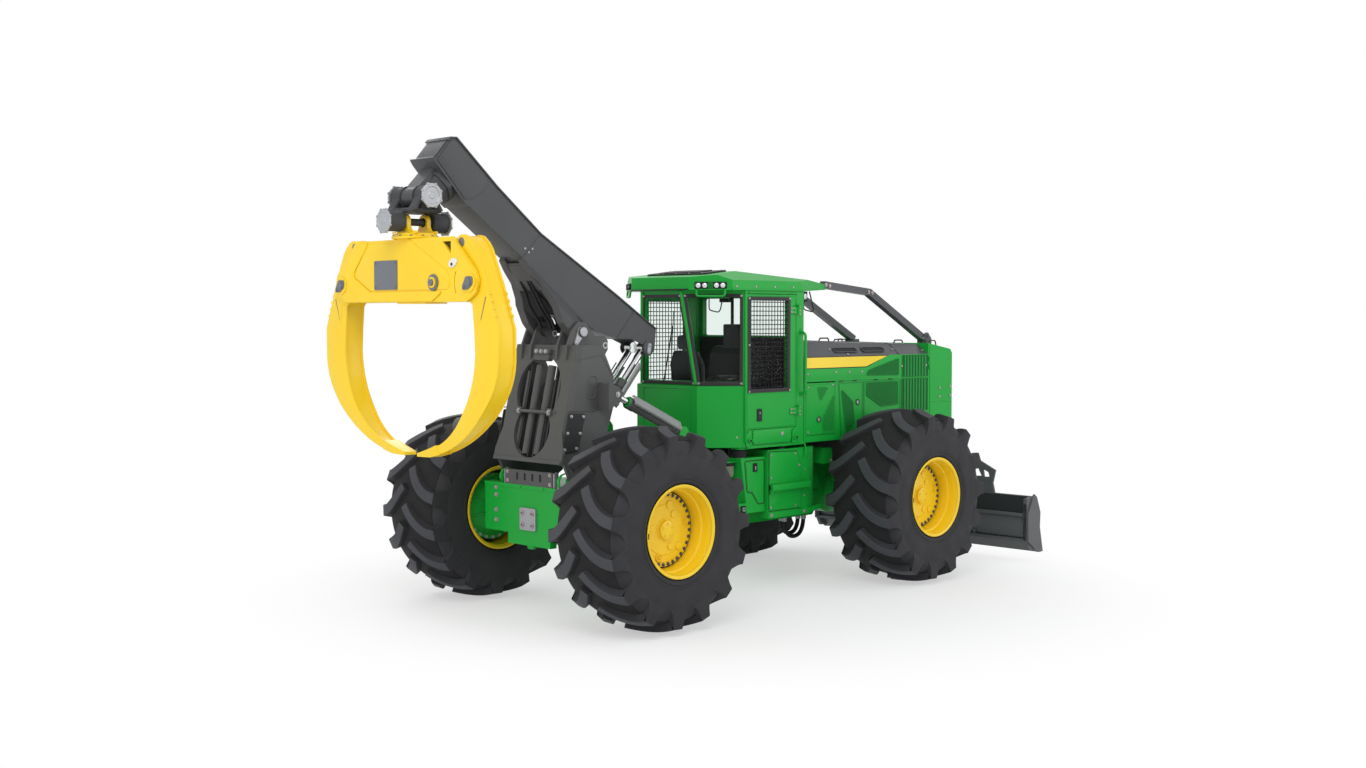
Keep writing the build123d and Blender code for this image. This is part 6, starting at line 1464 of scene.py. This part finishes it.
# ------------ tanks and steps
# Green steel tanks hang on both sides of the front frame under the cab. Each has a bolted cover
# with a folded step, a box with a latched lid behind it, and rubber mounts that carry the cab.
TANK_FACE = 760
CAB_FLOOR = 1590               # underside of the cab
mount_rubber = finish("mount_rubber", ((36, 36, 38), (28, 28, 30)), (0.6, 0.75), bump=0.2)
filter_paint = finish("filter_paint", ((120, 128, 106), (104, 112, 92)), (0.45, 0.6), bump=0.15)
painted(green_enamel, "side_tanks")
painted(mount_rubber, "cab_mounts")
green, rivets, dark, bowl, caps = drafts(5)
for s in (-1, 1):
    skin = side_plane(s * SIDE_Y)
    face = side_plane(s * TANK_FACE)
    o = -s                       # a plate grows outwards with this sign
    # the tank's bolted cover
    plate(green, rounded([(287, 884), (800, 884), (800, 1350), (730, 1500), (287, 1516)], [14, 8, 8, 8, 14]),
        skin, 0, o * 9)
    bolts(rivets, at_y(s * 809, ((305, 1482), (305, 1238), (305, 918), (705, 1482), (772, 1352), (772, 1150),
        (705, 918))), (0, s, 0), 22, 8, 16, 1)
    bolts(rivets, [(868, s * SIDE_Y, 1290), (868, s * SIDE_Y, 1010)], (0, s, 0), 20, 8, 16, 1)
    # dark joint round the cover and a rib where the tank turns in
    bars(dark, [at_y(s * SIDE_Y, ((281, 1524), (281, 876), (806, 876), (806, 1354), (734, 1510),
        (281, 1524)))], 8, 4, sides=4, out=(0, s, 0))
    bars(green, [[(908, s * 799, 900), (908, s * 799, 1500)]], 26, 6, sides=4, out=(0, s, 0))
    # folded step with grip teeth
    plate(green, rect(287, 1104, 913, 1166), skin, 0, o * 62)
    plate(green, [(287, 1060), (330, 1078), (560, 1096), (913, 1104), (913, 1108), (287, 1108)], skin, 0,
        o * 40)
    bars(green, [[(300 + 28 * k, s * 808, 1168), (300 + 28 * k, s * 858, 1168)] for k in range(22)], 10, 8,
        sides=4)
    # the bar under the tank is a folded channel that goes on forwards to the axle
    plate(green, [(272, 800), (913, 800), (1180, 852), (1180, 884), (913, 864), (272, 864)], skin, -o * 30,
        o * 10)
    bolts(rivets, [(x, s * 810, 832) for x in (320, 860)], (0, s, 0), 24, 9)
    # box behind the tank: a sunk lid with a latch
    lid = rounded([(-58, 1440), (252, 1440), (252, 968), (150, 968), (60, 1090), (-24, 1110)],
        [26, 26, 26, 40, 40, 26])
    bars(dark, [at_y(s * (TANK_FACE + 1), lid)], 9, 4, sides=4, out=(0, s, 0), close=True)
    plate(green, inset(lid, 16), face, 0, o * 5)
    plate(dark, rounded(rect(66, 1318, 132, 1412), 14), face, 4, o * 13)
    lathe(caps, [(4, 0), (4, 10), (18, 10), (20, 8), (20, 0)], (99, s * TANK_FACE, 1368), 16, axis=(0, s, 0),
        close=False)
    plate(caps, rect(94, 1336, 104, 1362), face, o * 12, o * 18)
    # socket box at its lower rear corner
    plate(green, rounded(rect(-150, 858, -24, 990), 12), face, -o * 90, o * 6)
    plate(green, rect(-30, 880, 270, 930), face, -o * 60, o * 4)
    plate(dark, rounded(rect(-128, 876, -58, 966), 10), face, 0, o * 22)
    lathe(caps, [(18, 0), (18, 22), (30, 22), (30, 14), (22, 12), (22, 0)], (-93, s * TANK_FACE, 930), 20,
        axis=(0, s, 0), close=False)
    # filter bowl on a bracket behind the box
    lathe(bowl, [(0, 0), (4, 34), (18, 54), (40, 62), (128, 62), (136, 56), (136, 0)], (-186, s * 640, 1262),
        40, axis="z", close=False)
    lathe(dark, [(134, 0), (134, 66), (162, 66), (168, 58), (168, 0)], (-186, s * 640, 1262), 40, axis="z",
        close=False)
    plate(green, rect(-250, 1428, -86, 1440), side_plane(s * 640), -50, 50)
    # cab mounts: a flange, a rubber puck and a washer under it
    for x, seat in ((-60, 1474), (584, 1540)):
        lathe(green, [(CAB_FLOOR - 22, 30), (CAB_FLOOR - 22, 92), (CAB_FLOOR - 8, 96), (CAB_FLOOR - 1, 92),
            (CAB_FLOOR - 1, 30)], (x, s * 690, 0), 40, axis="z")
        lathe(dark, [(seat + 8, 30), (seat + 8, 60), (seat + 16, 74), (CAB_FLOOR - 34, 76),
            (CAB_FLOOR - 22, 66), (CAB_FLOOR - 22, 30)], (x, s * 690, 0), 40, axis="z")
        lathe(caps, [(seat - 8, 20), (seat - 8, 48), (seat + 8, 52), (seat + 8, 20)], (x, s * 690, 0), 32,
            axis="z")
    # grab bar in front of the tank's cover
    bars(green, [[(800, s * 792, 1606), (842, s * 822, 1590), (862, s * 822, 1540), (862, s * 822, 1460),
        (846, s * 796, 1424)]], 18, sides=10, bend=26)
    # boxes and the holed bracket ahead of the tank
    plate(green, rounded([(1300, 1320), (1300, 1500), (1440, 1500), (1470, 1470), (1470, 1320)], 14),
        side_plane(s * 700), o * -250, 0)
    bolts(rivets, [(1452, s * 700, 1350)], (0, s, 0), 22, 9)
    plate(green, rounded([(1250, 1010), (1230, 1240), (1290, 1300), (1470, 1300), (1560, 1180),
        (1560, 1010)], 18), side_plane(s * 420), -10, 10, holes=[disc(16, (1300, 1190), 16),
        disc(16, (1300, 1120), 16)])
    box(green, 1240, 1560, *sorted((s * 380, s * 424)), 1012, 1030)
piece("tank_plates", green, green_enamel, bevel=2)
piece("tank_bolts", rivets, rivet_metal)
piece("tank_seams_and_sockets", dark, mount_rubber, bevel=1)
piece("tank_filters", bowl, filter_paint)
piece("tank_fittings", caps, cap_steel)

# ------------ operator's seat
# A sprung pedestal in a rubber bellows carries a foam cushion, backrest and headrest in dark woven
# cloth. Each is sewn with two channels, and edged with piping.
seat_cloth, tree, shader = new_material("seat_cloth")
place = node(tree, "ShaderNodeTexCoord").outputs["Object"]
threads = [node(tree, "ShaderNodeTexWave", {"Vector": place, "Scale": 110.0, "Distortion": 0.6},
    bands_direction=way).outputs["Fac"] for way in ("Y", "Z")]
weave = calc(tree, "MULTIPLY", *threads)
worn = node(tree, "ShaderNodeTexNoise", {"Vector": place, "Scale": 7.0, "Detail": 4.0})
shade = calc(tree, "MULTIPLY", weave, worn.outputs["Fac"])
tones = node(tree, "ShaderNodeMix", {"Factor": shade, "A": srgb(38, 38, 41), "B": srgb(66, 66, 70)},
    data_type="RGBA")
rough = node(tree, "ShaderNodeMapRange", {"Value": worn.outputs["Fac"], "To Min": 0.75, "To Max": 0.92})
lift = node(tree, "ShaderNodeBump", {"Strength": 0.3, "Distance": 0.0015, "Height": weave})
give(shader, {"Base Color": tones.outputs["Result"], "Roughness": rough, "Normal": lift,
    "Sheen Weight": 0.25})
black_plastic = finish("black_plastic", ((40, 40, 42), (30, 30, 32)), (0.4, 0.58), bump=0.15, grain=300)
PUFF = 0.018                     # how far the cloth may rise, in metres


def cushion(name, outline, where, thick, channels):
    """A foam pad in sewn cloth: blown up inside its cover, held at its back and along its seams."""
    bm = bmesh.new()
    plate(bm, outline, where, 0, thick)
    bmesh.ops.recalc_face_normals(bm, faces=bm.faces)
    form = bpy.data.meshes.new(name)
    bm.to_mesh(form)
    bm.free()
    form.transform(TO_FRAME)
    block = put(name + "_form", form)
    grid = block.modifiers.new("grid", "REMESH")
    grid.mode = "VOXEL"
    grid.voxel_size = 0.008
    cover = settled(block)
    flat = (TO_FRAME @ where).inverted()
    pad = put(name + "_cover", cover)
    rest = [v.co.copy() for v in cover.vertices]
    seams = pad.vertex_groups.new(name="seams")
    held = []
    for v in cover.vertices:
        p = flat @ v.co
        if p.z < 8 or (p.z > thick - 12 and any(abs(p.x - c) < 5 for c in channels)):
            held.append(v.index)
    seams.add(held, 1.0, "REPLACE")
    cloth = pad.modifiers.new("cloth", "CLOTH")
    cloth.settings.vertex_group_mass = "seams"
    cloth.settings.use_pressure = True
    cloth.settings.uniform_pressure_force = 4
    cloth.settings.effector_weights.gravity = 0
    for frame_number in range(1, 21):
        scene.frame_set(frame_number)
    blown = pad.evaluated_get(bpy.context.evaluated_depsgraph_get()).to_mesh()
    moved = [v.co.copy() for v in blown.vertices]
    pad.modifiers.remove(cloth)
    scene.frame_set(1)
    for v, first, last in zip(cover.vertices, rest, moved):
        rise = last - first
        if rise.length > PUFF:
            rise *= PUFF / rise.length
        v.co = first + rise
    # sewn channels are drawn in, and the edges soften
    for v in cover.vertices:
        p = flat @ v.co
        if p.z > thick * 0.6:
            sunk = sum(math.exp(-((p.x - c) / 9) ** 2) for c in channels)
            v.co -= (TO_FRAME.to_3x3() @ where.to_3x3() @ Vector((0, 0, 7 * min(1, sunk))))
    smooth = pad.modifiers.new("smooth", "SMOOTH")
    smooth.iterations = 4
    fine = pad.modifiers.new("fine", "SUBSURF")
    fine.levels = fine.render_levels = 1
    shape = settled(pad)
    shape.transform(TO_FRAME.inverted())
    made = placed(name, shape, seat_cloth, smooth=80)
    return made


SEAT_Z = 1980
cushion("seat_cushion", rounded([(-235, -120), (235, -120), (240, 300), (205, 385), (-205, 385),
    (-240, 300)], 50), plane((0, 0, SEAT_Z + 14), (0, 1, 0), (1, 0, 0)) @ Matrix.Diagonal((1, 1, -1, 1)), 92,
    (-150, 150))
back_plane = plane((-150, 0, 2128), (0, 1, 0), (-0.128, 0, 0.99))
cushion("seat_backrest", rounded([(-205, 6), (205, 6), (222, 330), (150, 470), (-150, 470), (-222, 330)],
    46), back_plane @ Matrix.Translation((0, 0, 22)), 62, (-130, 130))
cushion("seat_headrest", rounded([(-120, 500), (120, 500), (112, 650), (-112, 650)], 36),
    back_plane @ Matrix.Translation((0, 0, 18)), 52, ())
bm, cloth_edge = drafts(2)
# moulded shell behind the backrest and under the cushion, headrest posts, bellows and rails
plate(bm, rounded([(-215, 0), (215, 0), (232, 335), (158, 486), (-158, 486), (-232, 335)], 50), back_plane,
    -4, 20)
plate(bm, rounded([(-246, -128), (246, -128), (250, 305), (212, 392), (-212, 392), (-250, 305)], 54),
    plane((0, 0, SEAT_Z - 8), (0, 1, 0), (1, 0, 0)), -24, 0)
bars(bm, [[back_plane @ Vector((y, 440, 34)), back_plane @ Vector((y, 560, 34))] for y in (-52, 52)], 14)
for k in range(7):
    z = 1700 + 36 * k
    wide = 186 if k % 2 else 168
    plate(bm, rounded(rect(-50, -wide, 300, wide), 40), Matrix(), z, z + 30)
plate(bm, rounded(rect(-60, -200, 320, 200), 24), Matrix(), 1632, 1700)
bars(cloth_edge, [on(back_plane, 26, rounded([(-212, 2), (212, 2), (229, 333), (155, 480), (-155, 480),
    (-229, 333)], 50))], 8, close=True)
piece("seat_shell_and_bellows", bm, black_plastic, replaces=["operator_seat"], bevel=5)
piece("seat_piping", cloth_edge, seat_cloth)
# sprung armrest pads
for side, s in (("right", -1), ("left", 1)):
    cushion(f"seat_armrest_{side}", rounded(rect(-10, -34, 300, 34), 26),
        plane((20, s * 292, 2296), (1, 0, 0), (0, 1, 0)), 40, ())

# ------------ controls
# Two side consoles of moulded plastic with a joystick and keys on each, and a front console with
# a screen on a stalk. They stand fixed on the cab's floor, and nothing on them moves.
bm, glow, dark = drafts(3)
for s in (-1, 1):
    skin = side_plane(s * 345)
    plate(bm, rounded([(0, 1632), (300, 1632), (330, 1900), (418, 2240), (412, 2296), (330, 2326),
        (60, 2280), (30, 1900)], 34), skin, -44, 44)
    lathe(bm, [(0, 0), (0, 30), (8, 30), (40, 12), (62, 12), (80, 20), (124, 22), (140, 14), (144, 0)],
        (360, s * 345, 2306), 20, axis=(0.12, 0, 1), close=False)
    for i in range(6):
        lathe(dark, [(0, 0), (0, 9), (7, 8), (7, 0)], (150 + 40 * (i % 3), s * (330 + 30 * (i // 3)),
            2298 + 3 * (i % 3)), 12, axis="z", close=False)
plate(bm, rounded([(560, 1632), (770, 1632), (778, 2050), (740, 2200), (600, 2230), (560, 2100)], 40),
    side_plane(0), -110, 110)
plate(bm, rounded([(548, 2180), (740, 2140), (778, 2200), (770, 2262), (600, 2300), (548, 2268)], 20),
    side_plane(0), -400, 400)
lathe(bm, [(0, 0), (0, 16), (150, 12), (150, 0)], (640, -250, 2240), 16, axis=(0, 0, 1), close=False)
screen = plane((640, -250, 2350), (0.3, 1, 0), (0.16, 0, 1))
plate(bm, rounded(rect(-130, -88, 130, 0), 14), screen, -20, 20)
plate(glow, rounded(rect(-116, -78, 116, -10), 8), screen, -24, -19)
for k in range(5):
    plate(dark, disc(22, (-200 + 100 * k, 2216), 20), cross_plane(548), -4, 3)
# dash cowl, a screen hung from the roof, and the dark lining of the cab's walls
plate(bm, rounded([(600, 2290), (640, 2560), (700, 2640), (785, 2660), (785, 2270)], 30), side_plane(0),
    -430, 430)
bars(bm, [[(130, -400, 2900), (130, -400, 3190)]], 34)
hung = plane((130, -400, 0), (0.6, -0.8, 0), (0, 0, 1))
plate(bm, rounded(rect(-95, 2640, 95, 2900), 16), hung, -30, 30)
plate(glow, rounded(rect(-80, 2656, 80, 2884), 10), hung, -34, -29)
lining = bmesh.new()
box(lining, 784, 794, -738, 738, 1634, 2752)
box(lining, -400, 780, -440, 440, 1630, 1646)
box(lining, -380, 780, -400, 400, 3222, 3236)
lining_felt = finish("lining_felt", ((46, 46, 48), (36, 36, 38)), (0.85, 0.95), bump=0.4, grain=420)
piece("cab_lining", lining, lining_felt, bevel=3)
screen_glass = finish("screen_glass", ((26, 30, 36), (18, 22, 28)), (0.08, 0.14), bump=0.01)
piece("console_mouldings", bm, black_plastic, replaces=["cab_console"], bevel=6)
piece("console_screen", glow, screen_glass)
piece("console_keys", dark, rivet_metal)

# ------------ dozer blade
# A curved blade of thick grey plate, stiffened behind by a ledge, a rib and box posts at its ends.
# Its cutting edge is three hardened strips, held by sunk bolts.
blade_enamel = finish("blade_enamel", ((98, 100, 101), (88, 90, 92)), (0.42, 0.56), bump=0.14, coat=0.08)
worn_steel = finish("worn_steel", ((120, 118, 114), (92, 90, 88)), (0.35, 0.6), bump=0.3, grain=40,
    metal=0.5)
painted(blade_enamel, "dozer_blade")
bm, dark, edge, grey = drafts(4)
for s in (-1, 1):
    # box post at the end, with a chamfered head
    plate(bm, [(3978, 252), (3978, 716), (4012, 772), (4086, 796), (4086, 252)], side_plane(s * 1642), -26,
        26)
    plate(bm, [(4050, 150), (3990, 252), (4090, 252), (4210, 150)], side_plane(s * 1642), -26, 26)
    # painted shade: a dark strip on the mouldboard's back over the ledge, for the shade there
    plate(dark, ribbon([(4036, 592), (4066, 690), (4099, 792)], 5), side_plane(s * 978), -634, 634)
    bars(bm, [[(3984, s * 342, 592), (3984, s * 1612, 592)]], 12, 16, sides=6)
    # gussets beside the lift cylinders
    for y, lean in ((344, 0), (700, 40)):
        plate(bm, [(3982, 588), (3982, 660 - lean), (4050, 770 - lean), (4080, 770 - lean), (4050, 588)],
            side_plane(s * y), -9, 9)
    # rib's end plates, and caps over the pivots of the arms
    plate(bm, [(3992, 284), (3992, 330), (4024, 360), (4024, 284)], side_plane(s * 900), -8, 8)
    lathe(grey, [(0, 0), (0, 60), (14, 58), (20, 50), (20, 0)], (3050, s * 456, 780), 32, axis=(0, s, 0),
        close=False)
    bolts(grey, around((3050, s * 474, 780), 38, 6), (0, s, 0), 16, 8)
front = arc((4144, 800), (4062, 470), (4255, 113), 40)
low_edge = [p for p in front if p[1] < 262]
for y0, y1 in ((-1684, -566), (-560, 560), (566, 1684)):
    middle = (y0 + y1) / 2
    plate(edge, ribbon([(x + 7, z) for x, z in low_edge] + [(4268, 104)], 14), side_plane(middle),
        (y0 - y1) / 2, (y1 - y0) / 2)
    spots = [y0 + 90 + (y1 - y0 - 180) * k / 6 for k in range(7)]
    bolts(grey, [(4204, y, 214) for y in spots], (0.87, 0, 0.5), 26, 6, 16, 1.2)
piece("blade_posts", bm, blade_enamel, "blade", bevel=4)
piece("blade_back_shade", dark, dark_enamel_and_shade, "blade")
piece("blade_cutting_edge", edge, worn_steel, "blade", bevel=2)
piece("blade_bolts", grey, cap_steel, "blade")

# ------------ single cylinders
# The blade's lift cylinders, the steering cylinders and the tongs' rams: bands where the barrels
# are welded, a green gland ring at the rod's end, and an oil port with its pipe.


def trimmed(name, body, runs, r, start, end, rod, band):
    """Bands, gland ring and pipe for cylinders given as (foot, eye, way the pipe lies) runs."""
    bm, green, pipe = drafts(3)
    for foot, eye, side_way in runs:
        foot, side_way = Vector(foot), Vector(side_way)
        way = (Vector(eye) - foot).normalized()
        for t in (start + 30, end - 70):
            lathe(bm, [(t, r - 3), (t + 3, r + band), (t + 26, r + band), (t + 29, r - 3)], foot, 32,
                axis=way)
        lathe(green, [(end - 3, rod + 6), (end - 3, r - 6), (end + 7, r - 8), (end + 7, rod + 6)], foot, 32,
            axis=way)
        bars(pipe, [[foot + way * (start + 44) + side_way * (r - 4),
            foot + way * (start + 44) + side_way * (r + 14), foot + way * (end - 56) + side_way * (r + 14),
            foot + way * (end - 56) + side_way * (r - 4)]], 12, bend=10)
    piece(f"{name}_bands", bm, arch_paint, body)
    piece(f"{name}_rings", green, green_enamel, body)
    piece(f"{name}_pipes", pipe, cap_steel, body)


trimmed("blade_cylinder", "blade_barrels", [((3560, s * 250, 1260), (3965, s * 250, 640), (0, -s, 0))
    for s in (-1, 1)], 60, 70, 455, 32, 5)
for side, s in (("right", -1), ("left", 1)):
    trimmed(f"steering_cylinder_{side}", f"steer_barrel_{side}",
        [((520, s * 330, 970), (-480, s * 300, 970), (0, 0, 1))], 52, 60, 620, 30, 4)
    foot = Vector((GRAPPLE_X - s * 50, -s * 486, 3285))
    eye = Vector((GRAPPLE_X - s * 50, s * 852, 3635))
    trimmed(f"tong_ram_{side}", f"ram_barrel_{side}", [(foot, eye, (0, 0, 1))], 42, 60,
        0.62 * (eye - foot).length, 25, 3)
painted(dark_enamel_and_shade, "engine_block")
painted(green_enamel, "engine_sides", "engine_door_right", "engine_door_left", "front_shroud")
painted(dark_steel_and_shade, "front_grille")
painted(yellow_enamel, "tong_ram_barrel_right", "tong_ram_barrel_left")

# ------------ hoses
# Two rubber hoses with crimped steel ends loop out of the front frame's underside and back into
# it. Each is one smooth spline, and hangs free between its ends.
for label, y, x0, span, bottom, length in (("outer", -335, 1066, 330, 470, 0.652),
        ("inner", -265, 1090, 290, 500, 0.569)):
    top = 699.7
    route = [(x0, top), (x0, bottom), (x0 + span, bottom), (x0 + span, top)]
    hose = bpy.data.curves.new(f"belly_hose_{label}", "CURVE")
    hose.dimensions = "3D"
    hose.bevel_depth = 0.024
    hose.bevel_resolution = 5
    line = hose.splines.new("NURBS")
    line.points.add(len(route) - 1)
    for spot, (x, z) in zip(line.points, route):
        spot.co = (*(TO_FRAME @ Vector((x, y, z))), 1)
    line.order_u = 3
    line.use_endpoint_u = True
    line.resolution_u = 16
    hose.materials.append(rubber_hose)
    made = put(f"belly_hose_{label}", hose)
    ends = bmesh.new()
    for x in (x0, x0 + span):
        lathe(ends, [(-46, 24.5), (-46, 29), (-40, 30), (-12, 30), (-10, 33), (0, 33), (0, 24.5)],
            (x, y, top), 24, axis="z")
    crimps = piece(f"belly_hose_{label}_ends", ends, cap_steel)
    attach(made, "front_chassis")
    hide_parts("hose_loops")

# ------------ sizes
# The machine's box with every piece on, in metres.
low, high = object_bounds()
